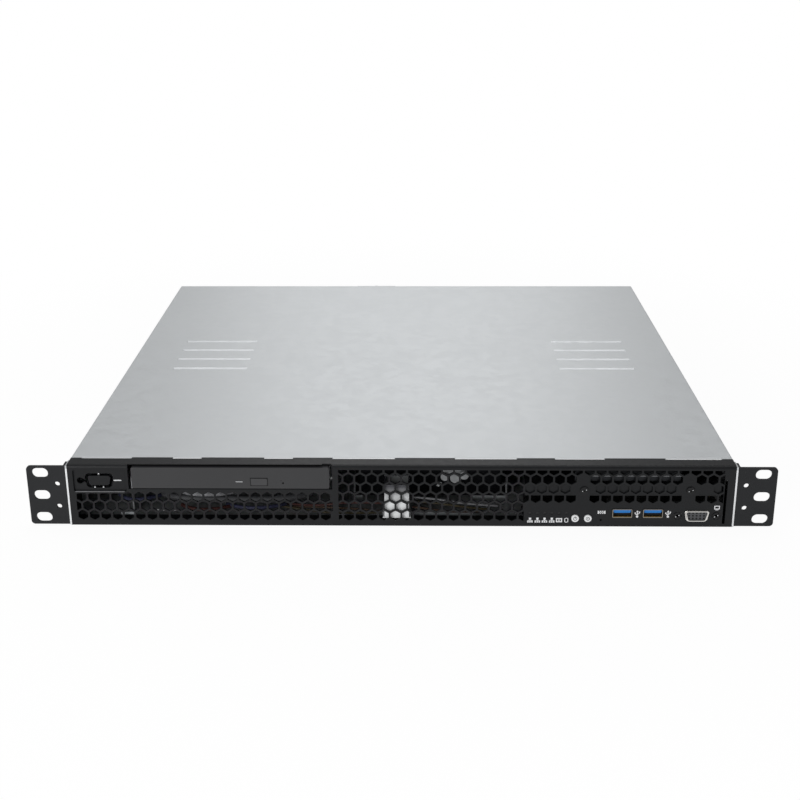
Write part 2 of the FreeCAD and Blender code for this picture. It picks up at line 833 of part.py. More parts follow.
def vga_shell_piece():
    y0 = panel_sheet + fit
    skirt = prism(vga_face(0), vga_corner, "y", -0.9, y0 + 0.5)
    flange = prism(rectangle(vga_x - 16, vga_x + 16, floor + panel_sheet + fit, 14), 1.0, "y", y0, y0 + 0.8)
    opening = prism(vga_face(vga_shell), vga_corner - vga_shell, "y", -2, y0 + 2)
    screw_holes = [rod(vga_x + side * jack_spacing / 2, y0 - 1, vga_level, 1.4, 3) for side in (-1, 1)]
    return joined([skirt, flange]).cut([opening] + screw_holes)


def vga_insert():
    y0 = panel_sheet + fit + 0.8
    tongue_part = prism(vga_face(vga_shell + 0.05), vga_corner - vga_shell, "y", 0.2, y0 + 1)
    body = prism(rectangle(vga_x - 15.4, vga_x + 15.4, floor + panel_sheet + fit, 13.4), 0.6, "y", y0,
                 board_face)
    jack_places = [vga_x + side * jack_spacing / 2 for side in (-1, 1)]
    return joined([tongue_part, body]).cut([rod(x, y0 - 1, vga_level, 1.35, 5) for x in jack_places])


def vga_jacks():
    solids = []
    for side in (-1, 1):
        x = vga_x + side * jack_spacing / 2
        nut = prism(hexagon(x, vga_level, jack_across), 0, "y", -0.2, panel_sheet + fit)
        stud = rod(x, panel_sheet + fit, vga_level, 1.3, 4)
        solids.append(joined([nut, stud]).cut(rod(x, -1, vga_level, 1.0, 4)))
    return group(solids)


def ssd():
    rear = ssd_front + ssd_length
    corners = rectangle(ssd_left, ssd_left + ssd_width, ssd_front, rear)
    body = prism(corners, 1.5, "z", ssd_level, ssd_level + ssd_height)
    port = box(ssd_left + 8, ssd_left + 50, rear - 5, rear + 1, ssd_level + 1, ssd_level + 5)
    return body.cut(port)


def hdd_case(x, y):
    x0 = x - hdd_width / 2
    x1 = x + hdd_width / 2
    y1 = y + hdd_length
    top = hdd_level + hdd_height - 3
    body = prism([(x0, y), (x1, y), (x1, y1), (x0, y1)], 4, "z", hdd_level, top)
    port = box(x0 + 8, x0 + 52, y1 - 6, y1 + 1, hdd_level - 1, hdd_level + 6)
    notch = prism([(y + 30, top - 7), (y1 - 30, top - 7), (y1 - 30, top - 3), (y + 30, top - 3)], 1.5,
                  "x", x0 - 1,
                  x0 + 1.5)
    notches = [notch, notch.mirror(V(x, 0, 0), V(1, 0, 0))]
    return body.cut([port] + notches)


def hdd_lid(x, y):
    x0 = x - hdd_width / 2
    x1 = x + hdd_width / 2
    y1 = y + hdd_length
    top = hdd_level + hdd_height
    plate = [(x0 + 1.5, y + 1.5), (x1 - 1.5, y + 1.5), (x1 - 1.5, y1 - 1.5), (x0 + 1.5, y1 - 1.5)]
    raised = [(x0 + 7, y + 9), (x1 - 7, y + 9), (x1 - 7, y1 - 42), (x1 - 30, y1 - 10), (x0 + 7, y1 - 10)]
    lid = joined([prism(plate, 6, "z", top - 3, top - 1.2), prism(raised, 8, "z", top - 1.3, top)])
    return lid.cut(rod(x - 8, y + 60, top - 0.5, 16, 2, (0, 0, 1)))


def hdd_cradle(x, y, front_tab):
    half = hdd_width / 2 + fit
    wall = [(-half - sheet, floor), (half + sheet, floor), (half + sheet, cradle_wall), (half, cradle_wall),
            (half, floor + sheet), (-half, floor + sheet), (-half, cradle_wall), (-half - sheet, cradle_wall)]
    cradle = prism([(x + u, v) for u, v in wall], 0, "y", y + 2, y + hdd_length - 2)
    solids = [cradle]
    for side in (-1, 1):
        for offset in (41.3, 123.0):
            solids.append(stud(x + side * 47.6, y + offset, 3, "z", floor + sheet, hdd_level))
    if front_tab:
        solids.append(box(x - 46, x + 28, 15, y + 3, floor, floor + sheet))
        solids.append(box(-10.3, 5.7, 15, 15 + sheet, floor, 28.5))
    window = prism([(x - 36, y + 22), (x + 36, y + 22), (x + 36, y + hdd_length - 22),
                    (x - 36, y + hdd_length - 22)],
                   8, "z", floor - 1, floor + sheet + 0.5)
    return joined(solids).cut(window)


fan_level = floor + sheet + fan_size / 2


def fan_frame(x, y, z, size):
    half = size / 2
    duct = half - fan_rim
    corner = half - 3.0
    frame = prism(rectangle(x - half, x + half, z - half, z + half), 3, "y", y, y + fan_depth)
    frame = frame.cut(rod(x, y - 1, z, duct, fan_depth + 2))
    strut = fan_depth - 2.4
    seat = rod(x, y + strut, z, fan_hub, 2.4)
    arms = []
    for angle in (20, 110, 200, 290):
        arm = box(x + fan_hub - 1, x + duct + 0.4, y + strut, y + fan_depth, z - 1, z + 1)
        arms.append(arm.rotate(V(x, 0, z), V(0, 1, 0), angle))
    ends = (y - 1, y + fan_depth + 1)
    holes = [stud(x + u * corner, z + v * corner, 1.6, "y", *ends) for u in (-1, 1) for v in (-1, 1)]
    bore = rod(x, y + strut - 1, z, screw_radius + 0.05, 2.4)
    return joined([frame, seat] + arms).cut(holes + [bore])


# A blade is a curved sheet: an arc of camber given its thickness and drawn outwards from the hub.
def fan_blade(x, y, z, tip_radius):
    lean = math.radians(blade_lean)
    centre = V(x - blade_curve * math.cos(lean), y - blade_curve * math.sin(lean), z)
    rings = []
    for radius in (blade_curve, blade_curve + blade_thick):
        turns = [lean + step * blade_chord / 2 / blade_curve for step in (-1, 0, 1)]
        rings.append([centre + V(radius * math.cos(turn), radius * math.sin(turn), 0) for turn in turns])
    inner, outer = rings
    edges = [Part.Arc(*inner).toShape(), Part.makeLine(inner[2], outer[2]), Part.Arc(*outer[::-1]).toShape(),
             Part.makeLine(outer[0], inner[0])]
    blade = Part.Face(Part.Wire(edges)).extrude(V(0, 0, tip_radius - fan_hub + 1.5))
    blade.translate(V(0, 0, fan_hub - 1.5))
    return blade


def fan_rotor(x, y, z, size):
    tip_radius = size / 2 - fan_rim - 2.0
    end = fan_depth - 2.4 - fit
    hub = rod(x, y + 1, z, fan_hub - 0.4, end - 1)
    hub = hub.makeChamfer(1.0, [edge for edge in hub.Edges if abs(edge.BoundBox.YMax - y - 1) < 1e-6])
    middle_y = y + 1 + (end - 1) / 2
    solids = [hub, rod(x, y + end - 1, z, screw_radius, 2.2)]
    for index in range(fan_blades):
        blade = fan_blade(x, middle_y, z, tip_radius)
        solids.append(blade.rotate(V(x, 0, z), V(0, 1, 0), 360 * index / fan_blades))
    return joined(solids)


def fan_bracket():
    y = fan_wall_y
    wall = box(fan_wall_left, fan_wall_right, y, y + sheet, floor, psu_high)
    foot = box(fan_wall_left, fan_wall_right, y, y + fan_depth + sheet, floor, floor + sheet)
    ends = [box(fan_wall_left, fan_wall_left + sheet, y, y + fan_depth, floor, psu_high)]
    ends.append(box(fan_wall_right - sheet, fan_wall_right, y, y + fan_depth, floor, psu_high))
    ducts = [rod(x, y - 1, fan_level, fan_size / 2 - fan_rim, 3) for x in fan_places]
    corner = fan_size / 2 - 3.0
    ends_y = (y - 1, y + 2)
    for x in fan_places:
        ducts += [stud(x + u * corner, fan_level + v * corner, 1.6, "y", *ends_y) for u in (-1, 1)
                  for v in (-1, 1)]
    ducts.append(stud(cable_gap_x, cable_gap_level, thin_cable_radius + 1, "y", *ends_y))
    return joined([wall, foot] + ends).cut(ducts)


main_top = main_level + 1.6
hole_columns = (main_left + main_inset, main_left + main_width - main_inset)
hole_rows = (main_front + main_inset, main_front + main_length - 16)
main_holes = [(x, y) for x in hole_columns for y in hole_rows]


def motherboard():
    x1 = main_left + main_width
    y1 = main_front + main_length
    board = prism([(main_left, main_front), (x1, main_front), (x1, y1), (main_left, y1)], 2, "z",
                  main_level, main_top)
    holes = [stud(x, y, screw_radius + slip, "z", main_level - 1, main_top + 1) for x, y in main_holes]
    return board.cut(holes)


def board_standoffs():
    solids = []
    for x, y in main_holes:
        post = prism(hexagon(x, y, 5.4), 0, "z", floor, main_level)
        solids.append(post.cut(stud(x, y, screw_radius + 0.05, "z", floor + 1, main_level + 1)))
    return group(solids)


def board_screws():
    solids = []
    for x, y in main_holes:
        shank = stud(x, y, screw_radius, "z", main_level - 3, main_top)
        solids.append(joined([shank, stud(x, y, screw_head_radius, "z", main_top, main_top + 1.6)]))
    return group(solids)


def square(x, y, half_x, half_y):
    return [(x - half_x, y - half_y), (x + half_x, y - half_y), (x + half_x, y + half_y),
            (x - half_x, y + half_y)]


def cpu_socket():
    half = socket_width / 2
    return prism(square(socket_x, socket_y, half, half), 2, "z", main_top, main_top + socket_height)


def heatsink():
    low = main_top + socket_height
    x0 = socket_x - sink_width / 2
    base = prism(square(socket_x, socket_y, sink_width / 2, sink_length / 2), 2, "z", low, low + sink_base)
    pitch = (sink_width - 16 - fin_thick) / (fin_count - 1)
    fins = []
    for index in range(fin_count):
        x = x0 + 8 + index * pitch
        fins.append(box(x, x + fin_thick, socket_y - sink_length / 2 + 3, socket_y + sink_length / 2 - 3,
                        low + sink_base - 0.5, sink_top))
    posts = []
    for side in (-1, 1):
        for end in (-1, 1):
            x = socket_x + side * (sink_width / 2 - 4)
            y = socket_y + end * (sink_length / 2 - 4)
            posts.append(stud(x, y, 2.0, "z", main_top, low + sink_base))
            posts.append(stud(x, y, 3.2, "z", low + sink_base - 0.5, low + sink_base + 3))
    return joined([base] + fins + posts)


def memory_sockets():
    solids = []
    y1 = memory_front + memory_length
    for x in memory_places:
        body = box(x - 3.2, x + 3.2, memory_front - 4, y1 + 4, main_top, main_top + 6)
        lower = box(x - 2.6, x + 2.6, memory_front - 8, memory_front - 3, main_top, main_top + 11)
        upper = box(x - 2.6, x + 2.6, y1 + 3, y1 + 8, main_top, main_top + 11)
        groove = box(x - 0.9, x + 0.9, memory_front - slip, y1 + slip, main_top + 2, main_top + 12)
        solids.append(joined([body, lower, upper]).cut(groove))
    return group(solids)


def memory_module(x):
    low = main_top + 2 + slip
    y1 = memory_front + memory_length
    card = [(memory_front, low), (y1, low), (y1, low + memory_height), (memory_front, low + memory_height)]
    board = prism(card, 0, "x", x - 0.65, x + 0.65)
    chips = []
    for index in range(8):
        y = memory_front + 6 + index * 15.6 + (4 if index > 3 else 0)
        chips.append(box(x - memory_thick / 2, x + memory_thick / 2, y, y + 9, low + 6.5, low + 16))
    return joined([board] + chips)


def rear_ports():
    solids = []
    y1 = depth - sheet + 0.4
    y0 = y1 - port_depth
    for index, x in enumerate(port_places):
        top = main_top + (port_height if index < 2 else 14.0)
        can = box(x - port_width / 2, x + port_width / 2, y0, y1, main_top, top)
        can = can.cut(box(x - port_width / 2 + 0.8, x + port_width / 2 - 0.8, y1 - 12, y1 + 1,
                          main_top + 0.8, top - 0.8))
        if index < 2:
            can = can.fuse(box(x - port_width / 2, x + port_width / 2, y0, y1, main_top + 12.6,
                               main_top + 13.6))
        solids.append(can.removeSplitter())
    screen = d_shape(vga_rear_x, main_top + 6.5, 8.2, 6.6, 4.0)
    hood = prism(screen, 1.6, "y", y0 + 4, y1 + 4)
    hood = hood.cut(prism(d_shape(vga_rear_x, main_top + 6.5, 7.7, 6.1, 3.5), 1.1, "y", y1 - 3, y1 + 5))
    block = box(vga_rear_x - 15, vga_rear_x + 15, y0 + 4, rear_wall - sheet - fit, main_top, main_top + 12.5)
    solids.append(joined([hood, block]))
    return group(solids)


def rear_shield():
    points = rectangle(io_left - 1.5, io_right + 1.5, io_low - 1.5, io_high + 1.5)
    shield = prism(points, 1.5, "y", rear_wall - 0.8, rear_wall)
    y0 = rear_wall - 2
    y1 = rear_wall + 2
    cutters = [box(io_left - 3, io_right + 3, y0, y1, 0, main_top + 0.2)]
    for index, x in enumerate(port_places):
        top = main_top + (port_height if index < 2 else 14.0)
        half = port_width / 2 + fit
        cutters.append(box(x - half, x + half, y0, y1, main_top - 1, top + fit))
    cutters.append(prism(d_shape(vga_rear_x, main_top + 6.5, 8.7, 7.1, 4.5), 1.8, "y", y0, y1))
    return shield.cut(cutters)


psu_right = psu_left + psu_width
psu_rear = rear_wall
rocker_pivot = psu_rear - 1.5
psu_fan_level = floor + sheet + psu_fan_size / 2
psu_fan_front = psu_rear - sheet - fan_depth


def psu_vent(x, z, reach, y0, y1):
    holes = []
    for row in range(-2, 3):
        for column in range(-3, 4):
            u = (column + (0.5 if row % 2 else 0)) * 7.0
            v = row * 6.1
            if math.hypot(u, v) < reach - 3:
                holes.append(prism(hexagon(x + u, z + v, 5.8), 0, "y", y0, y1))
    return holes


def psu_case():
    outer = box(psu_left, psu_right, psu_front, psu_rear, floor, psu_high - sheet)
    inner = box(psu_left + sheet, psu_right - sheet, psu_front + sheet, psu_rear - sheet, floor + sheet,
                psu_high + 1)
    cutters = [inner]
    cutters += psu_vent(psu_fan_x, psu_fan_level, psu_fan_size / 2, psu_rear - 2, psu_rear + 1)
    inlet = rectangle(inlet_x - inlet_width / 2, inlet_x + inlet_width / 2, inlet_level - inlet_height / 2,
                      inlet_level + inlet_height / 2)
    cutters.append(prism(inlet, 2, "y", psu_rear - 2, psu_rear + 1))
    half = rocker_width / 2 + 0.8
    rocker = rectangle(inlet_x - half, inlet_x + half, rocker_level - rocker_height / 2,
                       rocker_level + rocker_height / 2)
    cutters.append(prism(rocker, 0.5, "y", psu_rear - 2, psu_rear + 1))
    for index in range(9):
        x = psu_left + 12 + index * 7
        cutters.append(box(x - 1.5, x + 1.5, psu_front - 1, psu_front + 2, 9, 33))
    cutters.append(rod(psu_right - 14, psu_front - 1, 16, cable_radius + 0.4, 3))
    cutters.append(rod(psu_right - 26, psu_front - 1, 16, thin_cable_radius + 0.4, 3))
    return outer.cut(cutters)


def psu_lid():
    lid = box(psu_left, psu_right, psu_front, psu_rear, psu_high - sheet, psu_high)
    flaps = [box(x0, x0 + sheet - slip, psu_front + 20, psu_rear - 20, psu_high - 8, psu_high - sheet)
             for x0 in
             (psu_left + sheet + slip, psu_right - 2 * sheet)]
    return joined([lid] + flaps)


def psu_inlet():
    half = inlet_width / 2 - 0.1
    rise = inlet_height / 2 - 0.1
    shape = [(inlet_x - half, inlet_level - rise), (inlet_x + half, inlet_level - rise),
             (inlet_x + half, inlet_level + rise - 5), (inlet_x + half - 5, inlet_level + rise),
             (inlet_x - half + 5, inlet_level + rise), (inlet_x - half, inlet_level + rise - 5)]
    body = prism(rectangle(inlet_x - half, inlet_x + half, inlet_level - rise, inlet_level + rise), 1.9, "y",
                 psu_rear - 20, psu_rear + 0.5)
    socket = [(inlet_x + (x - inlet_x) * 0.86, inlet_level + (z - inlet_level) * 0.82) for x, z in shape]
    well = prism(socket, 1.0, "y", psu_rear - 14, psu_rear + 2)
    pins = []
    for u, v in ((-7, -2.5), (0, 2.5), (7, -2.5)):
        x = inlet_x + u
        z = inlet_level + v
        pins.append(box(x - 1, x + 1, psu_rear - 15, psu_rear - 3, z - 2, z + 2))
    half = rocker_width / 2
    rise = rocker_height / 2
    frame = rectangle(inlet_x - half - 0.7, inlet_x + half + 0.7, rocker_level - rise + slip,
                      rocker_level + rise - slip)
    switch = prism(frame, 0.4, "y", psu_rear - 8, psu_rear + 0.5)
    cavity = box(inlet_x - half - 0.2, inlet_x + half + 0.2, psu_rear - 6, psu_rear + 1,
                 rocker_level - rise + 0.3,
                 rocker_level + rise - 0.3)
    pivots = rod(inlet_x - half - 0.6, rocker_pivot, rocker_level, 0.75, rocker_width + 1.2, (1, 0, 0))
    return group([joined([body.cut(well)] + pins), switch.cut([cavity, pivots])])


def psu_rocker():
    half = rocker_width / 2
    rise = rocker_height / 2 - 0.55
    profile = [(rocker_pivot - 3.0, rocker_level - 1.2), (rocker_pivot + 1.2, rocker_level - rise),
               (rocker_pivot + 2.6, rocker_level), (rocker_pivot + 1.2, rocker_level + rise),
               (rocker_pivot - 3.0, rocker_level + 1.2)]
    rocker = prism(profile, 0.3, "x", inlet_x - half, inlet_x + half)
    pins = rod(inlet_x - half - 0.5, rocker_pivot, rocker_level, 0.7, rocker_width + 1.0, (1, 0, 0))
    return joined([rocker, pins]).rotate(V(0, rocker_pivot, rocker_level), V(1, 0, 0), -rocker_tilt / 2)


# A cable runs straight between its points and turns by arcs as large as the shorter run beside each.
def cable(points, radius):
    points = [V(*p) for p in points]
    edges = []
    start = points[0]
    for before, corner, after in zip(points, points[1:], points[2:]):
        back = before - corner
        ahead = after - corner
        run = min(back.Length, ahead.Length)
        half = back.getAngle(ahead) / 2
        reach = 0.45 * run
        bend = reach * math.tan(half)
        back.normalize()
        ahead.normalize()
        inward = (back + ahead).normalize()
        nearest = corner + inward * (bend / math.sin(half) - bend)
        edges.append(Part.makeLine(start, corner + back * reach))
        edges.append(Part.Arc(corner + back * reach, nearest, corner + ahead * reach).toShape())
        start = corner + ahead * reach
        print("bend radius %.1f of a cable %.1f thick" % (bend, 2 * radius))
    edges.append(Part.makeLine(start, points[-1]))
    path = Part.Wire(edges)
    ring = Part.Wire([Part.Circle(points[0], points[1] - points[0], radius).toShape()])
    tube = path.makePipeShell([ring], True, False)
    print("cable volume over section times length %.4f" % (tube.Volume / (math.pi * radius ** 2 * path.Length)))
    return tube


front_plug_rear = web_face + sheet + 8.4
gap_plug_front = main_front + 2
power_plug_x = main_left - 9
power_plug_front = main_front + 33
drive_plug_rear = drive_depth + 5

power_route = [(psu_right - 14, psu_front + 3, 16), (psu_right - 14, 152, 16), (-80, 152, 14), (-45, 199, 13),
               (power_plug_x, 199, 14), (power_plug_x, power_plug_front, 14)]
front_route = [(105, front_plug_rear, 8), (105, 70, 8), (92, 122, 9), (cable_gap_x, 172, cable_gap_level),
               (cable_gap_x, gap_plug_front, cable_gap_level)]
drive_route = [(psu_right - 26, psu_front + 3, 16), (psu_right - 26, 168, 16),
               (-122, drive_plug_rear + 16, 33.5),
               (-122, drive_plug_rear, 33.5)]


def harness_plugs():
    solids = [box(power_plug_x - 7, main_left, power_plug_front, power_plug_front + 25, main_level, 22)]
    solids.append(box(98, 112, web_face + sheet, front_plug_rear, 4, 13))
    solids.append(box(cable_gap_x - 6, cable_gap_x + 6, gap_plug_front, gap_plug_front + 12, main_top, 16))
    solids.append(box(-132, -112, drive_depth, drive_plug_rear, 30, 37))
    return group(solids)


pieces = {
    "chassis_tray": chassis_tray,
    "front_panel": front_panel,
    "rack_ear_right": right_ear,
    "rack_ear_left": lambda: mirrored(right_ear()),
    "black_screws": black_screws,
    "top_cover": top_cover,
    "thumbscrew_washer": thumbscrew_washer,
    "cover_thumbscrew": thumbscrew,
    "drive_shelf": drive_shelf,
    "optical_drive_case": optical_case,
    "optical_drive_tray": optical_tray,
    "eject_button": eject_button,
    "disc_spindle": disc_spindle,
    "laser_sled": laser_sled,
    "io_bracket": io_bracket,
    "io_board": io_board,
    "io_switches": io_switches,
    "light_pipes": light_pipes,
    "usb_shells": usb_shells,
    "usb_tongues": usb_tongues,
    "vga_shell": vga_shell_piece,
    "vga_insert": vga_insert,
    "vga_jacks": vga_jacks,
    "power_button": lambda: push_button(power_x),
    "location_button": lambda: push_button(location_x),
    "reset_plunger": reset_plunger,
    "solid_state_drive": ssd,
    "front_drive_cradle": lambda: hdd_cradle(hdd_front_x, hdd_front_y, True),
    "front_drive_case": lambda: hdd_case(hdd_front_x, hdd_front_y),
    "front_drive_lid": lambda: hdd_lid(hdd_front_x, hdd_front_y),
    "rear_drive_cradle": lambda: hdd_cradle(hdd_rear_x, hdd_rear_y, False),
    "rear_drive_case": lambda: hdd_case(hdd_rear_x, hdd_rear_y),
    "rear_drive_lid": lambda: hdd_lid(hdd_rear_x, hdd_rear_y),
    "fan_bracket": fan_bracket,
    "motherboard": motherboard,
    "board_standoffs": board_standoffs,
    "board_screws": board_screws,
    "cpu_socket": cpu_socket,
    "heatsink": heatsink,
    "memory_sockets": memory_sockets,
    "rear_ports": rear_ports,
    "rear_shield": rear_shield,
    "psu_case": psu_case,
    "psu_lid": psu_lid,
    "psu_inlet": psu_inlet,
    "psu_switch": psu_rocker,
    "psu_fan_frame": lambda: fan_frame(psu_fan_x, psu_fan_front, psu_fan_level, psu_fan_size),
    "psu_fan_rotor": lambda: fan_rotor(psu_fan_x, psu_fan_front, psu_fan_level, psu_fan_size),
    "harness_power": lambda: cable(power_route, cable_radius),
    "harness_front": lambda: cable(front_route, thin_cable_radius),
    "harness_drive": lambda: cable(drive_route, thin_cable_radius),
    "harness_plugs": harness_plugs,
}
for number, fan_x in enumerate(fan_places, 1):
    pieces["fan_frame_%d" % number] = lambda x=fan_x: fan_frame(x, fan_wall_y + sheet, fan_level, fan_size)
    pieces["fan_rotor_%d" % number] = lambda x=fan_x: fan_rotor(x, fan_wall_y + sheet, fan_level, fan_size)
for number, module_x in enumerate(memory_places, 1):
    pieces["memory_module_%d" % number] = lambda x=module_x: memory_module(x)

os.makedirs("parts", exist_ok=True)
for name, make in pieces.items():
    shape = make()
    shape.translate(V(0, -middle, 0))
    if not shape.isValid():
        print("not valid:", name)
    shape.exportStep("parts/%s.step" % name)
print(len(pieces), "pieces written")
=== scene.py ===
import math
import bpy
import bmesh
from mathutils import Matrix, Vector


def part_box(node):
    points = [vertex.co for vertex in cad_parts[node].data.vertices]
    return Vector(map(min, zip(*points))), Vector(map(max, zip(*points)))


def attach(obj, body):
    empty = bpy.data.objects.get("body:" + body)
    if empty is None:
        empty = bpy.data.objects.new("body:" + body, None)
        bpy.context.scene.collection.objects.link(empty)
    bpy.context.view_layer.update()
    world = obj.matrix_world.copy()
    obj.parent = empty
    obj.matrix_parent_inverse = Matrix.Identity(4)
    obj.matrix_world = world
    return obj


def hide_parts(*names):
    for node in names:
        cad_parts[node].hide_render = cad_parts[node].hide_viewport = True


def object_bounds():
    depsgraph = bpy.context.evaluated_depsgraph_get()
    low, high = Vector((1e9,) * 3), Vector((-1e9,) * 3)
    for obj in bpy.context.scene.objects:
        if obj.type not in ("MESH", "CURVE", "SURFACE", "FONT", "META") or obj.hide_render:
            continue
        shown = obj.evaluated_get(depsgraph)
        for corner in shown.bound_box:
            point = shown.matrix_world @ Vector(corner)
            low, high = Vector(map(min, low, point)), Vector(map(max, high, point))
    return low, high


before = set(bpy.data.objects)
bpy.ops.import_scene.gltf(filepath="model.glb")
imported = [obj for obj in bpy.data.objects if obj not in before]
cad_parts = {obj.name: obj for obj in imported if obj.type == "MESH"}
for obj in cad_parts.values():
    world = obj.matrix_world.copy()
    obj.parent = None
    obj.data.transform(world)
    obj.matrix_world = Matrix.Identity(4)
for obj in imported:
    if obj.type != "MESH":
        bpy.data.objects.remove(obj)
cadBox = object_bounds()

print("stage: frame loaded, %d nodes" % len(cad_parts))

mm = 0.001
white = (1, 1, 1, 1)
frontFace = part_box("front_panel")[0][1]


# a place given from the front face, in millimetres, to the frame's metres
def spot(x, y, z):
    return Vector((x * mm, frontFace + y * mm, z * mm))


# named values of one settings dictionary
def pick(settings, names):
    return [settings[name] for name in names.split()]


# the linear value of a colour written as it looks, each part from 0 to 255
def tone(red, green, blue):
    parts = [value / 255 for value in (red, green, blue)]
    return tuple(p / 12.92 if p <= 0.04045 else ((p + 0.055) / 1.055) ** 2.4 for p in parts) + (1.0,)


# one operator of shader maths, or its reflected form
def mathOperator(operation, reflected=False):
    def method(self, other):
        values = (other, self) if reflected else (self, other)
        return self.finish.node("ShaderNodeMath", {"operation": operation}, dict(enumerate(values)))
    return method


# a socket whose operators add Math nodes
class Signal:
    def __init__(self, finish, socket):
        self.finish = finish
        self.socket = socket

    __add__ = mathOperator("ADD")
    __radd__ = mathOperator("ADD", True)
    __sub__ = mathOperator("SUBTRACT")
    __rsub__ = mathOperator("SUBTRACT", True)
    __mul__ = mathOperator("MULTIPLY")
    __rmul__ = mathOperator("MULTIPLY", True)
    __gt__ = mathOperator("GREATER_THAN")
    __lt__ = mathOperator("LESS_THAN")


# a value or a link for one socket
def feed(tree, socket, value):
    if isinstance(value, Signal):
        value = value.socket
    if isinstance(value, bpy.types.NodeSocket):
        tree.links.new(value, socket)
    else:
        socket.default_value = value


# any node but maths: its type, its settings, what its sockets take, and the output that it gives
def addNode(tree, kind, settings=None, values=None, output=0):
    made = tree.nodes.new(kind)
    for key, value in (settings or {}).items():
        if key == "stops":
            for stop, (position, colour) in zip(made.color_ramp.elements, value):
                stop.position = position
                stop.color = colour
        else:
            setattr(made, key, value)
    for key, value in (values or {}).items():
        feed(tree, made.inputs[key], value)
    return made.outputs[output]


class Finish:
    def __init__(self, name):
        self.material = bpy.data.materials.new(name)
        self.material.use_nodes = True
        self.tree = self.material.node_tree
        self.tree.nodes.clear()
        self.shader = self.tree.nodes.new("ShaderNodeBsdfPrincipled")
        self.output = self.tree.nodes.new("ShaderNodeOutputMaterial")
        self.tree.links.new(self.shader.outputs[0], self.output.inputs[0])
        self.place = self.node("ShaderNodeTexCoord", output="Object")

    def node(self, kind, settings=None, values=None, output=0):
        return Signal(self, addNode(self.tree, kind, settings, values, output))

    def noise(self, scale, detail=2.0, place=None):
        return self.node("ShaderNodeTexNoise", {}, {"Vector": place or self.place, "Scale": scale,
            "Detail": detail}, "Fac")

    def stretched(self, x, y, z):
        return self.node("ShaderNodeMapping", {}, {"Vector": self.place, "Scale": (x, y, z)})

    def blend(self, factor, first, second):
        return self.node("ShaderNodeMix", {"data_type": "RGBA"}, {0: factor, 6: first, 7: second}, 2)

    def bump(self, height, strength, distance):
        return self.node("ShaderNodeBump", {}, {"Strength": strength, "Distance": distance,
            "Height": height}, "Normal")

    def surface(self, **values):
        for key, value in values.items():
            feed(self.tree, self.shader.inputs[key.replace("_", " ")], value)
        return self.material


# zinc coated sheet: large soft spangles, a fine rolled grain along one way and a few cloudy marks
def zincSheet(name, light, dark, spangle, roughness, metal, grainScale=(60, 900, 60)):
    finish = Finish(name)
    cells = finish.node("ShaderNodeTexVoronoi", {"feature": "F1"}, {"Vector": finish.place, "Scale": 170.0},
        "Color")
    cellTone = finish.node("ShaderNodeSeparateColor", {}, {0: cells}, 0)
    clouds = finish.noise(9.0, 3.0)
    grain = finish.noise(1.0, 2.0, finish.stretched(*grainScale))
    mix = (cellTone - 0.5) * spangle + (clouds - 0.5) * 0.5 + (grain - 0.5) * 0.25 + 0.5
    return finish.surface(Base_Color=finish.blend(mix, dark, light), Metallic=metal,
        Roughness=(cellTone - 0.5) * 0.08 + (grain - 0.5) * 0.10 + roughness,
        Normal=finish.bump(grain, 0.08, 0.0002))


# textured black powder coat: orange-peel bumps, a little lighter where the grains stand up
def powderCoat(name, base, light, roughness, grainSize=1600.0, strength=0.25):
    finish = Finish(name)
    finish.shader.inputs["Specular IOR Level"].default_value = 0.22
    grain = finish.noise(grainSize, 2.0)
    peel = finish.noise(grainSize / 5, 1.0)
    wear = finish.noise(26.0, 4.0)
    speck = finish.node("ShaderNodeValToRGB", {"stops": [(0.60, (0, 0, 0, 1)), (0.74, white)]}, {0: grain})
    mix = speck * 0.35 + (wear - 0.4) * 0.5
    return finish.surface(Base_Color=finish.blend(mix, base, light), Metallic=0.0,
        Roughness=roughness + (peel - 0.5) * 0.12, Normal=finish.bump(grain * 0.6 + peel * 0.4, strength,
        0.0001))


# moulded plastic with a fine spark-eroded grain
def mouldedPlastic(name, base, light, roughness, grainSize=2200.0, strength=0.15):
    finish = Finish(name)
    grain = finish.noise(grainSize, 1.0)
    clouds = finish.noise(30.0, 3.0)
    return finish.surface(Base_Color=finish.blend(clouds * 0.6 + grain * 0.2, base, light),
        Roughness=roughness + (clouds - 0.5) * 0.1, Normal=finish.bump(grain, strength, 0.00005))


# plated or machined metal with fine turning or drawing marks
def brightMetal(name, base, light, roughness, marks=(400, 400, 4000)):
    finish = Finish(name)
    drawn = finish.noise(1.0, 2.0, finish.stretched(*marks))
    clouds = finish.noise(60.0, 3.0)
    return finish.surface(Base_Color=finish.blend(clouds, base, light), Metallic=1.0,
        Roughness=roughness + (drawn - 0.5) * 0.12, Normal=finish.bump(drawn, 0.06, 0.00005))


# circuit board: solder mask with darker copper traces below and small bright pads
def circuitBoard(name, light, dark):
    finish = Finish(name)
    traces = finish.node("ShaderNodeTexBrick", {"offset": 0.5, "squash": 1.0},
        {"Vector": finish.place, "Scale": 90.0, "Mortar Size": 0.035, "Row Height": 0.12,
        "Brick Width": 0.9}, "Fac")
    spread = finish.node("ShaderNodeTexVoronoi", {"feature": "F1"},
        {"Vector": finish.place, "Scale": 420.0}, 0)
    pads = (spread < 0.16) * (finish.noise(40.0, 1.0) > 0.55)
    mask = finish.blend(traces, light, dark)
    return finish.surface(Base_Color=finish.blend(pads, mask, tone(205, 190, 140)), Metallic=pads * 0.9,
        Roughness=0.34 - traces * 0.08, Normal=finish.bump(traces, 0.2, 0.00005))


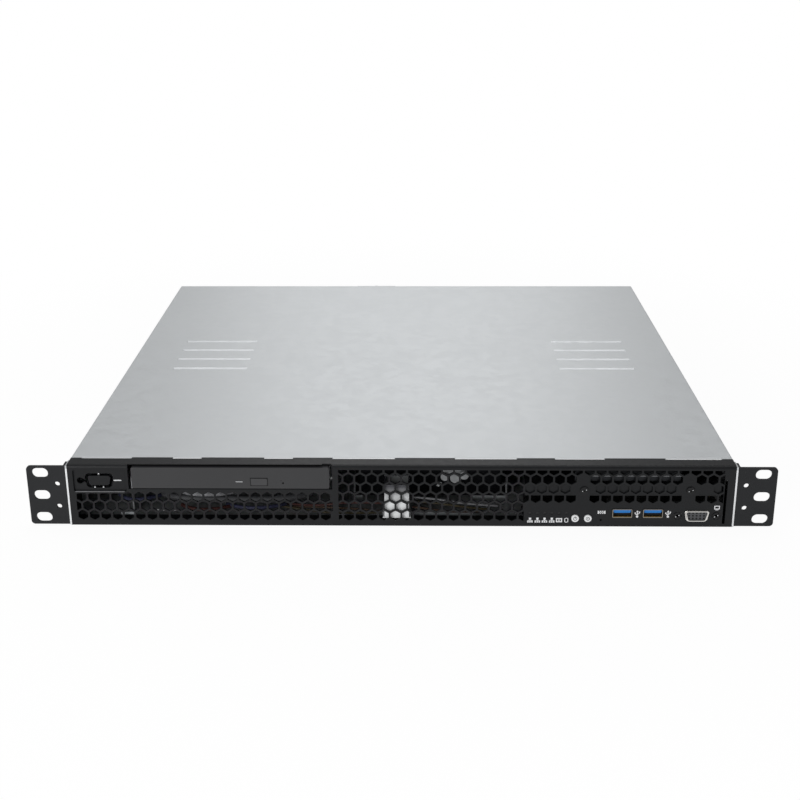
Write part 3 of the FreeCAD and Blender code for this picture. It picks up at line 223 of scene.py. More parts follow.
# ribbed sleeve of a cable
def cableSleeve(name, base, light):
    finish = Finish(name)
    weave = finish.node("ShaderNodeTexWave", {"bands_direction": "DIAGONAL"},
        {"Vector": finish.place, "Scale": 420.0, "Distortion": 0.6}, "Fac")
    return finish.surface(Base_Color=finish.blend(weave * 0.7, base, light), Roughness=0.55 + weave * 0.15,
        Normal=finish.bump(weave, 0.3, 0.0001))


# printed mark: ink with a slightly uneven cover
def printedInk(name, base, light):
    finish = Finish(name)
    cover = finish.noise(1500.0, 2.0)
    return finish.surface(Base_Color=finish.blend(cover, base, light), Roughness=0.5 + (cover - 0.5) * 0.2)


# clear or tinted light pipe
def clearPlastic(name, base, light):
    finish = Finish(name)
    depthTone = finish.noise(300.0, 1.0)
    return finish.surface(Base_Color=finish.blend(depthTone, base, light),
        Roughness=0.12 + depthTone * 0.08)


# bare edge of coated sheet with painted shade, greyer towards its top where the lip above shades it
def shadeFadedSheet(name, light, dark, low, high):
    finish = Finish(name)
    height = finish.node("ShaderNodeSeparateXYZ", {}, {0: finish.place}, 2)
    fade = finish.node("ShaderNodeMapRange", {}, {"Value": height, "From Min": low * mm,
        "From Max": high * mm})
    grain = finish.noise(700.0, 2.0)
    return finish.surface(Base_Color=finish.blend(fade + (grain - 0.5) * 0.1, light, dark), Metallic=0.1,
        Roughness=0.5 + (grain - 0.5) * 0.1, Normal=finish.bump(grain, 0.05, 0.0001))


# the recipe of each finish, its two colours and its amounts
finishSettings = {
    "coverSteel": (zincSheet, (203, 206, 208), (195, 198, 200), 0.05, 0.46, 0.55),
    "traySteel": (zincSheet, (206, 209, 210), (184, 187, 189), 0.6, 0.38, 0.8, (60, 60, 900)),
    "innerSteel": (zincSheet, (196, 198, 199), (170, 173, 175), 0.7, 0.4, 0.8),
    # very pale: bare cut edges brightened with a painted highlight
    "cutEdge": (zincSheet, (244, 245, 246), (224, 226, 228), 0.3, 0.5, 0.2),
    # painted shade: pale below, dark grey towards the top
    "footSteel": (shadeFadedSheet, (238, 240, 241), (60, 60, 66), 16.0, 27.0),
    # grey strip colour that paints highlights on edges
    "wornEdge": (printedInk, (96, 97, 100), (120, 121, 124)),
    "blackCoat": (powderCoat, (19, 20, 22), (36, 37, 40), 0.42),
    "earCoat": (powderCoat, (30, 31, 33), (50, 51, 54), 0.5),
    "blackScrew": (powderCoat, (20, 20, 22), (46, 46, 48), 0.32, 3000.0, 0.1),
    "bezelPlastic": (mouldedPlastic, (34, 34, 36), (45, 45, 47), 0.42),
    "buttonPlastic": (mouldedPlastic, (46, 46, 48), (58, 58, 60), 0.36),
    "fanPlastic": (mouldedPlastic, (16, 16, 18), (28, 28, 30), 0.5),
    # near black: painted shade in holes, slots, gaps and recesses
    "darkHole": (mouldedPlastic, (6, 6, 7), (12, 12, 13), 0.8),
    "greyPlastic": (mouldedPlastic, (66, 67, 70), (78, 79, 82), 0.45),
    "ivoryPlastic": (mouldedPlastic, (206, 200, 182), (222, 217, 200), 0.45),
    "bluePlastic": (mouldedPlastic, (0, 112, 194), (6, 130, 214), 0.35),
    "palePlastic": (mouldedPlastic, (240, 241, 242), (250, 250, 250), 0.4),
    "chipPackage": (mouldedPlastic, (26, 27, 29), (40, 41, 44), 0.4, 3200.0, 0.1),
    "rubber": (mouldedPlastic, (20, 20, 21), (32, 32, 33), 0.75, 1200.0, 0.3),
    "nickel": (brightMetal, (196, 194, 190), (224, 222, 218), 0.28),
    "zincPlate": (brightMetal, (190, 192, 194), (220, 221, 222), 0.3, (4000, 400, 400)),
    "castAlloy": (brightMetal, (24, 25, 27), (38, 39, 42), 0.5, (900, 900, 900)),
    "slateAlloy": (brightMetal, (38, 39, 41), (50, 51, 53), 0.45, (900, 900, 900)),
    "dimNickel": (brightMetal, (128, 122, 112), (150, 144, 134), 0.34),
    "clipPlastic": (mouldedPlastic, (140, 142, 144), (160, 162, 164), 0.45),
    "driveLid": (brightMetal, (136, 138, 141), (156, 158, 161), 0.5, (300, 4000, 300)),
    "aluminium": (brightMetal, (200, 202, 204), (222, 223, 224), 0.34, (300, 4000, 300)),
    "brass": (brightMetal, (184, 150, 84), (214, 182, 112), 0.3),
    "gold": (brightMetal, (212, 168, 84), (240, 204, 120), 0.25),
    "board": (circuitBoard, (24, 82, 44), (14, 58, 30)),
    "blackBoard": (circuitBoard, (20, 22, 22), (12, 13, 13)),
    "blackSleeve": (cableSleeve, (20, 20, 22), (44, 44, 47)),
    "greySleeve": (cableSleeve, (120, 121, 124), (150, 151, 154)),
    "redSleeve": (cableSleeve, (58, 27, 23), (80, 38, 32)),
    "orangeSleeve": (cableSleeve, (50, 34, 19), (72, 48, 27)),
    "yellowSleeve": (cableSleeve, (48, 42, 22), (68, 60, 31)),
    "blueSleeve": (cableSleeve, (40, 42, 66), (60, 64, 94)),
    "slateSleeve": (cableSleeve, (58, 59, 62), (84, 85, 88)),
    "whiteInk": (printedInk, (232, 233, 235), (246, 247, 248)),
    "greyInk": (printedInk, (92, 93, 96), (112, 113, 116)),
    "ceramic": (printedInk, (150, 138, 112), (176, 164, 138)),
    "paleLabel": (printedInk, (186, 188, 190), (206, 208, 210)),
    "lens": (mouldedPlastic, (4, 4, 5), (9, 9, 10), 0.6),
    "lensGlass": (clearPlastic, (40, 60, 120), (80, 110, 180)),
}
finishes = {name: recipe(name, tone(*first), tone(*second), *amounts)
    for name, (recipe, first, second, *amounts) in finishSettings.items()}

# the CAD nodes that take each finish
finishNodes = {
    "traySteel": "chassis_tray rear_drive_cradle",
    "coverSteel": "top_cover",
    "innerSteel": "drive_shelf optical_drive_case front_drive_cradle fan_bracket psu_case psu_lid",
    "nickel": "rear_shield disc_spindle cpu_socket vga_shell rear_ports",
    "blackCoat": "front_panel io_bracket",
    "earCoat": "rack_ear_left rack_ear_right",
    "blackScrew": "black_screws vga_jacks",
    "bezelPlastic": "optical_drive_tray",
    "buttonPlastic": "eject_button",
    "fanPlastic": "psu_inlet psu_switch thumbscrew_washer reset_plunger memory_sockets psu_fan_frame "
                  "psu_fan_rotor fan_frame_1 fan_rotor_1 fan_frame_2 fan_rotor_2 fan_frame_3 fan_rotor_3",
    "greyPlastic": "vga_insert io_switches laser_sled",
    "dimNickel": "usb_shells",
    "zincPlate": "cover_thumbscrew board_screws",
    "brass": "board_standoffs",
    "bluePlastic": "usb_tongues",
    "palePlastic": "power_button location_button",
    # the light pipes are near black: painted shade of the holes they sit in
    "lens": "light_pipes",
    "aluminium": "heatsink",
    "slateAlloy": "solid_state_drive",
    "castAlloy": "front_drive_case rear_drive_case",
    "driveLid": "front_drive_lid rear_drive_lid",
    "blackBoard": "io_board",
    "board": "motherboard memory_module_1 memory_module_2",
    "ivoryPlastic": "harness_plugs",
    "blackSleeve": "harness_power harness_front harness_drive",
}
for finishName, names in finishNodes.items():
    for name in names.split():
        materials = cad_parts[name].data.materials
        materials.clear()
        materials.append(finishes[finishName])
print("stage: finishes on %d nodes" % len(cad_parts))

cameraSettings = {"place": (0.010376, -0.857095, 0.375139), "tilt": 72.50, "roll": 0.283, "turn": 0.8895,
    "lens": 51.559, "shiftX": 0.003, "shiftY": -0.1456}
cameraData = bpy.data.cameras.new("studioCamera")
cameraData.lens = cameraSettings["lens"]
cameraData.sensor_width = 36.0
cameraData.shift_x = cameraSettings["shiftX"]
cameraData.shift_y = cameraSettings["shiftY"]
camera = bpy.data.objects.new("studioCamera", cameraData)
camera.location = cameraSettings["place"]
camera.rotation_euler = [math.radians(cameraSettings[key]) for key in ("tilt", "roll", "turn")]
bpy.context.scene.collection.objects.link(camera)
bpy.context.scene.camera = camera


# a spline with its points as control points, and its own line's length
def cordCurve(name, points, radius, finishName):
    data = bpy.data.curves.new(name, "CURVE")
    data.dimensions = "3D"
    spline = data.splines.new("NURBS")
    spline.points.add(len(points) - 1)
    for slotPoint, point in zip(spline.points, points):
        slotPoint.co = (*spot(*point), 1.0)
    spline.order_u = 3
    spline.use_endpoint_u = True
    spline.resolution_u = 12
    made = bpy.data.objects.new(name, data)
    bpy.context.scene.collection.objects.link(made)
    line = bpy.data.meshes.new_from_object(made.evaluated_get(bpy.context.evaluated_depsgraph_get()))
    length = sum((line.vertices[a].co - line.vertices[b].co).length
        for a, b in (edge.vertices for edge in line.edges))
    bpy.data.meshes.remove(line)
    data.bevel_depth = radius * mm
    data.bevel_resolution = 3
    data.use_fill_caps = True
    data.materials.append(finishes[finishName])
    return made, length


# the inner harness: three sleeved cables that end in their plugs
harnessSettings = [{"name": "powerCable", "node": "harness_power", "radius": 3.0, "stiffness": "medium",
    "route": [(-121.5, 193, 16), (-121.5, 152, 16), (-80, 152, 14), (-45, 199, 13), (29, 199, 14),
    (29, 241, 14)]}, {"name": "frontCable", "node": "harness_front", "radius": 2.0, "stiffness": "limp",
    "route": [(105, 21, 8), (105, 70, 8), (92, 122, 9), (92, 172, 11.5), (92, 210, 11.5)]},
    {"name": "driveCable", "node": "harness_drive", "radius": 2.0, "stiffness": "limp",
    "route": [(-133.5, 193, 16), (-133.5, 168, 16), (-122, 150, 33.5), (-122, 134, 33.5)]},]
for cable in harnessSettings:
    made, length = cordCurve(cable["name"], cable["route"], cable["radius"], "blackSleeve")
    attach(made, "chassis")
    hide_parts(cable["node"])
    print("stage: %s is %.0f mm long" % (cable["name"], length / mm))


# solids in millimetres from the front face, added to one mesh
def addBlock(bm, x0, x1, y0, y1, z0, z1):
    corners = [bm.verts.new(spot(x, y, z)) for z in (z0, z1)
        for x, y in ((x0, y0), (x1, y0), (x1, y1), (x0, y1))]
    for loop in ((0, 3, 2, 1), (4, 5, 6, 7), (0, 1, 5, 4), (1, 2, 6, 5), (2, 3, 7, 6), (3, 0, 4, 7)):
        bm.faces.new([corners[index] for index in loop])


# a solid between two outlines with the same number of points
def addPrism(bm, first, second):
    low, high = [[bm.verts.new(spot(*point)) for point in outline] for outline in (first, second)]
    bm.faces.new(low)
    bm.faces.new(list(reversed(high)))
    for index in range(len(low)):
        after = (index + 1) % len(low)
        bm.faces.new((low[index], high[index], high[after], low[after]))


# an outline in x and z, given its thickness along y
def addPlate(bm, points, y0, y1):
    addPrism(bm, [(x, y0, z) for x, z in points], [(x, y1, z) for x, z in points])


def roundPoints(x, z, radius, sides):
    steps = [2 * math.pi * index / sides for index in range(sides)]
    return [(x + radius * math.cos(step), z + radius * math.sin(step)) for step in steps]


# a flat band between two outlines with the same number of points
def addBand(bm, outer, inner, y0, y1):
    rings = [[bm.verts.new(spot(x, y, z)) for x, z in points] for y in (y0, y1)
        for points in (outer, inner)]
    frontOuter, frontInner, backOuter, backInner = rings
    for index in range(len(outer)):
        after = (index + 1) % len(outer)
        bm.faces.new((frontOuter[index], frontOuter[after], frontInner[after], frontInner[index]))
        bm.faces.new((backOuter[index], backInner[index], backInner[after], backOuter[after]))
        bm.faces.new((frontOuter[index], backOuter[index], backOuter[after], frontOuter[after]))
        bm.faces.new((frontInner[index], frontInner[after], backInner[after], backInner[index]))


# a turned shape: radius and distance along the axis from the centre, from axis to axis
def addTurned(bm, centre, axis, profile, sides):
    start = "xyz".index(axis)
    along, first, second = ([Vector((1, 0, 0)), Vector((0, 1, 0)), Vector((0, 0, 1))] * 2)[start:start + 3]
    steps = [2 * math.pi * index / sides for index in range(sides)]
    rings = []
    for radius, distance in profile:
        middle = spot(*centre) + along * distance * mm
        rings.append([bm.verts.new(middle + (first * math.cos(s) + second * math.sin(s)) * radius * mm)
            for s in (steps if radius else [0.0])])
    for lower, upper in zip(rings, rings[1:]):
        for index in range(sides):
            after = (index + 1) % sides
            corners = [lower[index % len(lower)], lower[after % len(lower)], upper[after % len(upper)],
                upper[index % len(upper)]]
            bm.faces.new(list(dict.fromkeys(corners)))


# the mesh becomes a named piece that rides on a body
def makePiece(name, finishName, bm, soften=0.0, body="chassis"):
    bmesh.ops.recalc_face_normals(bm, faces=bm.faces)
    mesh = bpy.data.meshes.new(name)
    bm.to_mesh(mesh)
    bm.free()
    settle(name, body, finishName, mesh, soften)


# a finished mesh gets its finish, its soft edges and its body
def settle(name, body, finishName, mesh, soften=0.0):
    mesh.materials.clear()
    mesh.materials.append(finishes[finishName])
    made = bpy.data.objects.new(name, mesh)
    bpy.context.scene.collection.objects.link(made)
    if soften:
        bevel = made.modifiers.new("softEdges", "BEVEL")
        bevel.width = soften * mm
        bevel.segments = 2
        bevel.limit_method = "ANGLE"
        bevel.angle_limit = math.radians(40)
    for face in mesh.polygons:
        face.use_smooth = True
    mesh.set_sharp_from_angle(angle=math.radians(35))
    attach(made, body)


# a piece made of shapes, each a function and its values, or of blocks alone
def shapePiece(name, finishName, shapes, soften=0.0, body="chassis"):
    bm = bmesh.new()
    for addShape, *values in shapes:
        addShape(bm, *values)
    makePiece(name, finishName, bm, soften, body)


def blockPiece(name, finishName, blocks, soften=0.0, body="chassis"):
    shapePiece(name, finishName, [(addBlock, *block) for block in blocks], soften, body)


# a tree of Geometry Nodes, with its sizes as named inputs
class Growth:
    def __init__(self, name, sizes):
        self.tree = bpy.data.node_groups.new(name, "GeometryNodeTree")
        self.sockets = {}
        self.tree.interface.new_socket("Geometry", in_out="INPUT", socket_type="NodeSocketGeometry")
        for label, value in sizes.items():
            kind = "NodeSocketInt" if isinstance(value, int) else "NodeSocketFloat"
            kind = "NodeSocketVector" if isinstance(value, tuple) else kind
            socket = self.tree.interface.new_socket(label, in_out="INPUT", socket_type=kind)
            socket.default_value = value
            self.sockets[label] = socket.identifier
        self.tree.interface.new_socket("Geometry", in_out="OUTPUT", socket_type="NodeSocketGeometry")
        self.entry = self.tree.nodes.new("NodeGroupInput")
        self.exit = self.tree.nodes.new("NodeGroupOutput")

    def size(self, label):
        return self.entry.outputs[label]

    def node(self, kind, settings=None, values=None, output=0):
        return addNode(self.tree, kind, settings, values, output)

    def maths(self, operation, first, second):
        return self.node("ShaderNodeMath", {"operation": operation}, {0: first, 1: second})

    def change(self, geometry, **values):
        return self.node("GeometryNodeTransform", {}, {"Geometry": geometry, **values})

    # real geometry and one finish, as a plain mesh
    def grow(self, name, body, finishName, sizes, base=None):
        mesh = base or bpy.data.meshes.new(name + "Base")
        made = bpy.data.objects.new(name + "Base", mesh)
        bpy.context.scene.collection.objects.link(made)
        modifier = made.modifiers.new("growth", "NODES")
        modifier.node_group = self.tree
        for label, value in sizes.items():
            modifier[self.sockets[label]] = value
        depsgraph = bpy.context.evaluated_depsgraph_get()
        depsgraph.update()
        grown = bpy.data.meshes.new_from_object(made.evaluated_get(depsgraph))
        grown.name = name
        bpy.data.objects.remove(made)
        settle(name, body, finishName, grown)

    def end(self, geometry):
        real = self.node("GeometryNodeRealizeInstances", {}, {"Geometry": geometry})
        dressed = self.node("GeometryNodeSetMaterial", {},
            {"Geometry": real, "Material": finishes["nickel"]})
        self.tree.links.new(dressed, self.exit.inputs[0])


# one small part at each point of a pattern: a block, or a short rod with that many sides
def patternTree(name, sizes, addPoints, sides, turn):
    tree = Growth(name, {**sizes, "Part Size": (0.001, 0.001, 0.001), "Place": (0.0, 0.0, 0.0)})
    placed = tree.change(tree.change(addPoints(tree), Rotation=turn), Translation=tree.size("Place"))
    if sides:
        rod = tree.node("GeometryNodeMeshCylinder", {}, {"Vertices": sides, "Radius": 0.5, "Depth": 1.0})
        part = tree.change(tree.change(rod, Rotation=turn), Scale=tree.size("Part Size"))
    else:
        part = tree.node("GeometryNodeMeshCube", {}, {"Size": tree.size("Part Size")})
    tree.end(tree.node("GeometryNodeInstanceOnPoints", {}, {"Points": placed, "Instance": part}))
    return tree


def rowPoints(tree):
    spans = [tree.maths("MULTIPLY", tree.maths("SUBTRACT", tree.size(count), 1.0), tree.size(pitch))
        for count, pitch in (("Columns", "Column Pitch"), ("Rows", "Row Pitch"))]
    return tree.node("GeometryNodeMeshGrid", {}, {"Size X": spans[0], "Size Y": spans[1],
        "Vertices X": tree.size("Columns"), "Vertices Y": tree.size("Rows")})


def ringPoints(tree):
    return tree.node("GeometryNodeMeshCircle", {}, {"Vertices": tree.size("Count"),
        "Radius": tree.size("Ring Radius")})


upright = (math.pi / 2, 0.0, 0.0)
flat = (0.0, 0.0, 0.0)
rowSizes = {"Columns": 2, "Rows": 1, "Column Pitch": 0.002, "Row Pitch": 0.002}
ringSizes = {"Count": 24, "Ring Radius": 0.005}
frontBlocks = patternTree("frontBlocks", rowSizes, rowPoints, 0, upright)
frontRods = patternTree("frontRods", rowSizes, rowPoints, 12, upright)
floorBlocks = patternTree("floorBlocks", rowSizes, rowPoints, 0, flat)
frontRing = patternTree("frontRing", ringSizes, ringPoints, 10, upright)
levelRing = patternTree("levelRing", ringSizes, ringPoints, 10, flat)


def partSizes(size, place):
    return {"Part Size": tuple(part * mm for part in size), "Place": tuple(spot(*place))}


def growRows(tree, name, finishName, columns, rows, pitch, rowPitch, size, place):
    tree.grow(name, "chassis", finishName, {"Columns": columns, "Rows": rows, "Column Pitch": pitch * mm,
        "Row Pitch": rowPitch * mm, **partSizes(size, place)})


def growRing(tree, name, body, finishName, count, radius, size, place):
    tree.grow(name, body, finishName, {"Count": count, "Ring Radius": radius * mm,
        **partSizes(size, place)})


# printed signs stand a hair off the panel
signSettings = {"rise": 0.06, "level": 4.5, "networkPlaces": (84.2, 89.0, 93.6, 98.3), "messageX": 103.0,
    "driveX": 107.7, "resetX": 130.3, "resetLevel": 10.3, "portPlaces": (153.4, 173.2), "portLevel": 9.2,
    "screenX": 204.4, "screenLevel": 13.6}


def networkSign(bm, x, z, y0, y1):
    addBlock(bm, x - 0.75, x + 0.75, y0, y1, z + 0.35, z + 1.75)
    addBlock(bm, x - 0.25, x + 0.25, y0, y1, z - 0.3, z + 0.35)
    addBlock(bm, x - 1.7, x + 1.7, y0, y1, z - 0.5, z - 0.1)
    for step in (-1, 0, 1):
        addBlock(bm, x + step * 1.3 - 0.5, x + step * 1.3 + 0.5, y0, y1, z - 1.75, z - 0.75)


def boxOutline(bm, x, z, half, rise, line, y0, y1):
    outer = [(x - half, z - rise), (x + half, z - rise), (x + half, z + rise), (x - half, z + rise)]
    inner = [(x + (u - x) * (half - line) / half, z + (v - z) * (rise - line) / rise) for u, v in outer]
    addBand(bm, outer, inner, y0, y1)


def portSign(bm, x, z, y0, y1):
    addPlate(bm, roundPoints(x, z - 1.9, 0.8, 12), y0, y1)
    addBlock(bm, x - 0.27, x + 0.27, y0, y1, z - 1.3, z + 1.5)
    addPlate(bm, [(x - 0.75, z + 1.4), (x + 0.75, z + 1.4), (x, z + 2.6)], y0, y1)
    addPlate(bm, [(x - 0.2, z - 1.1), (x - 0.2, z - 0.5), (x - 1.5, z + 0.5), (x - 1.5, z - 0.1)], y0, y1)
    addPlate(bm, roundPoints(x - 1.4, z + 0.6, 0.5, 10), y0, y1)
    addPlate(bm, [(x + 0.2, z - 0.6), (x + 1.5, z + 0.4), (x + 1.5, z + 1.0), (x + 0.2, z)], y0, y1)
    addBlock(bm, x + 0.95, x + 1.8, y0, y1, z + 0.9, z + 1.7)


def pillPoints(x, z, wide, high, split):
    steps = [math.pi * (index + 0.5) / 6 for index in range(12)]
    return [(x + wide * math.cos(s), z + high * math.sin(s) + (split if math.sin(s) > 0 else -split))
        for s in steps]


def frontSigns():
    bm = bmesh.new()
    y0, y1 = -signSettings["rise"], 0.01
    level, message, drive, ports, portLevel = pick(signSettings,
        "level messageX driveX portPlaces portLevel")
    for x in signSettings["networkPlaces"]:
        networkSign(bm, x, level, y0, y1)
    boxOutline(bm, message, level, 2.0, 1.5, 0.75, y0, y1)
    addPlate(bm, roundPoints(message, level, 0.55, 8), y0, y1)
    addBand(bm, pillPoints(drive, level, 1.3, 0.9, 0.8), pillPoints(drive, level, 0.8, 0.5, 0.8), y0, y1)
    x, z = pick(signSettings, "resetX resetLevel")
    for step in (-2.1, -0.7, 0.7, 2.1):
        addBlock(bm, x + step - 0.4, x + step + 0.4, y0, y1, z - 1.1, z + 1.1)
    addBlock(bm, x - 1.8, x + 1.8, y0, y1, z - 0.4, z + 0.4)
    for x in ports:
        portSign(bm, x, portLevel, y0, y1)
    x, z = pick(signSettings, "screenX screenLevel")
    boxOutline(bm, x, z + 0.4, 1.75, 1.25, 0.5, y0, y1)
    addBlock(bm, x - 1.0, x + 1.0, y0, y1, z - 1.5, z - 1.05)
    makePiece("frontSigns", "whiteInk", bm)


frontSigns()


# glyphs on the two round buttons
glyphSettings = {"powerX": 113.3, "locationX": 121.5, "level": 6.0, "radius": 1.35, "line": 0.4,
    "front": -0.85, "back": -0.78}


def buttonGlyphs():
    powerX, locationX, level, radius, line, y0, y1 = glyphSettings.values()
    for name, x, shape in (("power", powerX, (addBlock, powerX - line / 2, powerX + line / 2, y0, y1, level,
            level + radius + 0.3)), ("location", locationX,
            (addPlate, roundPoints(locationX, level, radius / 3, 10), y0, y1))):
        ring = (addBand, roundPoints(x, level, radius, 16), roundPoints(x, level, radius - line, 16), y0,
            y1)
        shapePiece(name + "Glyph", "greyInk", [ring, shape], body=name + "_button")


buttonGlyphs()

# the marks on the drive's bezel, with painted shade in the eject button's gap
bezelSettings = {"front": -0.34, "back": -0.28, "mark": (-106.0, -101.6, 31.4, 31.8), "lamp": (-76.7, 32.4),
    "eject": (-91.0, 31.6, 5.8, 2.9, 0.7)}


def bezelMarks():
    y0, y1, (x0, x1, low, high), lamp, eject = bezelSettings.values()
    for name, finishName, shape in (
            ("bezelMark", "paleLabel", (addBlock, x0, x1, y0, y1, low, high)),
            ("ejectGap", "darkHole", (boxOutline, *eject, y0 - 0.02, y1)),
            ("bezelLamp", "lens", (addPlate, roundPoints(*lamp, 0.35, 10), y0, y1))):
        shapePiece(name, finishName, [shape], body="optical_drive_tray")


bezelMarks()

# display socket: holes for fifteen pins in three rows, drawn as dark discs of painted shade, and a raised
# rim
growRows(frontRods, "displayPinHoles", "darkHole", 5, 3, 2.35, 1.95, (1.3, 0.1, 1.3), (191.75, 0.17, 7.9))
rimSettings = {"x": 191.75, "level": 7.9, "top": 7.9, "bottom": 6.9, "half": 3.7, "line": 0.6,
    "corner": 1.1}


def screenRim():
    x, z, top, bottom, half, line, corner = rimSettings.values()
    right = [(bottom - corner, -half), (bottom, corner - half), (top, half - corner), (top - corner, half)]
    turns = [(-1, *right[0])] + [(1, *place) for place in right] + [(-1, *place)
        for place in reversed(right[1:])]
    outer, inner = [[(x + side * (reach - step), z + level - step * (1 if level > 0 else -1))
        for side, reach, level in turns] for step in (0, line)]
    shapePiece("screenRim", "nickel", [(addBand, outer, inner, -0.3, 0.05)], 0.1)


screenRim()
# a painted highlight along the drive's top edge, above the lower grille
blockPiece("driveEdgeHighlight", "wornEdge", [(112.5, 181.5, 2.42, 2.6, 34.7, 35.4)])

# USB ports: contacts below each tongue, a dark floor of painted shade, a bare sill and the tongue's blue
# face
usbSettings = {"places": (143.65, 163.4), "contactLevel": 10.0, "contactSize": (1.0, 5.0, 0.12),
    "blocks": (("usbBack", "darkHole", 5.8, 2.0, 9.2, 7.3, 9.9, 0.0),
    ("usbSill", "brass", 5.7, 0.1, 1.6, 6.95, 7.3, 0.0),
    ("usbTongueFace", "bluePlastic", 5.3, 0.95, 1.6, 9.35, 12.0, 0.15))}
for number, x in enumerate(usbSettings["places"], 1):
    growRows(frontBlocks, "usbContacts%d" % number, "gold", 4, 1, 2.4, 1.0, usbSettings["contactSize"],
        (x, 4.0, usbSettings["contactLevel"]))
    for name, finishName, reach, y0, y1, z0, z1, soften in usbSettings["blocks"]:
        blockPiece("%s%d" % (name, number), finishName, [(x - reach, x + reach, y0, y1, z0, z1)], soften)
print("stage: front signs and ports")


# a screw's cross recess, drawn as flat bars of painted shade
def crossRecess(bm, centre, axis, reach, width, rise):
    x, y, z = centre
    for first, second in ((reach, width), (width, reach)):
        u, v, w = {"x": (rise, first, second), "y": (first, rise, second), "z": (first, second, rise)}[axis]
        addBlock(bm, x - u, x + u, y - v, y + v, z - w, z + w)


screwSettings = {"reach": 1.5, "width": 0.35, "rise": 0.04, "frontPlaces": (118.5, 186.7),
    "frontLevel": 25.9, "frontFace": -0.75, "jackPlaces": (179.25, 204.25), "jackFace": -0.2,
    "jackLevel": 7.9, "earPlaces": ((13.0, 10.0), (13.0, 22.0), (27.0, 16.0)), "earFace": 218.7,
    "boardPlaces": [(x, y) for x in (44.35, 201.65) for y in (214.35, 362.0)], "boardTop": 10.2,
    "sinkPlaces": [(x, y) for x in (78, 154) for y in (232, 312)], "sinkFace": 19.6}


def screwRecesses():
    reach, width, rise, frontFace, frontLevel, jackFace, jackLevel = pick(
        screwSettings, "reach width rise frontFace frontLevel jackFace jackLevel")
    centres = [((x, frontFace, frontLevel), "y") for x in screwSettings["frontPlaces"]]
    centres += [((side * screwSettings["earFace"], y, z), "x") for y, z in screwSettings["earPlaces"]
        for side in (-1, 1)]
    centres += [((x, y, screwSettings["boardTop"]), "z") for x, y in screwSettings["boardPlaces"]]
    centres += [((x, y, screwSettings["sinkFace"]), "z") for x, y in screwSettings["sinkPlaces"]]
    bm = bmesh.new()
    for centre, axis in centres:
        crossRecess(bm, centre, axis, reach, width, rise)
    makePiece("screwRecesses", "darkHole", bm)
    glints = []
    for x in screwSettings["frontPlaces"]:
        for side in (-1, 1):
            middle, low = x + side * 1.2, frontLevel + 0.45 * side
            glints.append((middle - 0.25, middle + 0.25, frontFace - 0.05, frontFace, low, low + 0.5))
    for x in screwSettings["jackPlaces"]:
        for side in (-1, 1):
            middle, level = x + side * 1.0, jackLevel + 0.5 * side
            glints.append((middle - 0.3, middle + 0.3, jackFace - 0.05, jackFace + 0.05, level - 0.4,
                level + 0.2))
    blockPiece("screwGlints", "zincPlate", glints)


screwRecesses()


# the pale folded upright in front of the front drive's cradle, and its foot on the floor; its finish paints
# shade that greys it towards the top
uprightSettings = {"left": -10.3, "right": 5.7, "front": 2.2, "back": 14.9, "foot": 4.4, "low": 5.0,
    "high": 28.4, "wall": 0.7, "footReach": 1.2}


def cradleFoot():
    left, right, front, back, foot, low, high, wall, reach = uprightSettings.values()
    sides = [(x, x + wall, front + 0.6, back, low, high) for x in (left, right - wall)]
    blockPiece("cradleFoot", "footSteel", [(left - reach, right + reach, front, back, foot, foot + wall),
        (left, right, front, front + wall, low, high)] + sides, 0.15)


cradleFoot()

# bare metal edges brightened as painted highlights at the knock-out, on the walls
# and on the cover's front tongues, and a painted highlight on the recess's sill
edgeSettings = {"slit": (-185.6, -180.6, 1.6, 2.0, 31.05, 31.8),
    "sill": (-210.6, -178.6, -0.03, 0.25, 23.85, 24.3),
    "linkPlaces": ((-194.9, 36.3), (-197.9, 26.8), (-192.4, 26.8)), "wall": (214.9, 216.0, 0.2, 40.5),
    "tongues": ((-148.2, -129.6), (-88.5, -70.0), (-44.0, -3.6), (35.6, 75.5), (100.3, 132.4),
    (171.8, 207.2)), "tongueSection": ((10.25, 42.62), (11.0, 42.72), (11.0, 42.86), (10.25, 42.78))}


def bareEdges():
    links = [(x - 0.4, x + 0.4, 1.15, 1.25, z - 0.3, z + 0.3) for x, z in edgeSettings["linkPlaces"]]
    blockPiece("knockoutEdges", "cutEdge", [edgeSettings["slit"]] + links)
    blockPiece("recessSillHighlight", "wornEdge", [edgeSettings["sill"]])
    inner, outer, low, high = edgeSettings["wall"]
    blockPiece("wallEdges", "cutEdge", [(x0, x1, -0.06, 0.3, low, high)
        for x0, x1 in ((-outer, -inner), (inner, outer))])
    shapes = []
    for x0, x1 in edgeSettings["tongues"]:
        shapes.append((addPrism, *[[(x, y, z) for y, z in edgeSettings["tongueSection"]]
            for x in (x0, x1)]))
    shapePiece("tongueEdges", "cutEdge", shapes, body="top_cover")


bareEdges()

# a pale cable clip below the lip, and small plated clips low on the left
clipSettings = {"lobes": ((29.0, 31.5, 2.8), (36.0, 30.6, 3.6), (41.5, 32.6, 3.0)), "front": 7.0,
    "back": 9.0, "plated": (-161.6, -156.1, -150.6), "platedLevel": 6.4}


def cableClips():
    lobes, front, back, plated, level = clipSettings.values()
    shapes = [(addPlate, roundPoints(x, z, radius, 18), front, back) for x, z, radius in lobes]
    shapes.append((addBlock, 27.0, 43.0, back, back + 1.0, 31.0, 36.0))
    # a slanted plate in front of the clip stands for a painted glint on it
    shapes.append((addPlate, [(23.2, 26.0), (25.0, 25.4), (27.4, 28.2), (25.4, 28.8)], 5.5, 6.2))
    shapePiece("cableClip", "clipPlastic", shapes, 0.4)
    profile = [(0, 0), (1.0, 0), (1.0, 3.2), (0, 3.2)]
    shapePiece("platedClips", "zincPlate", [(addTurned, (x, 8.5, level), "x", profile, 10) for x in plated])


cableClips()

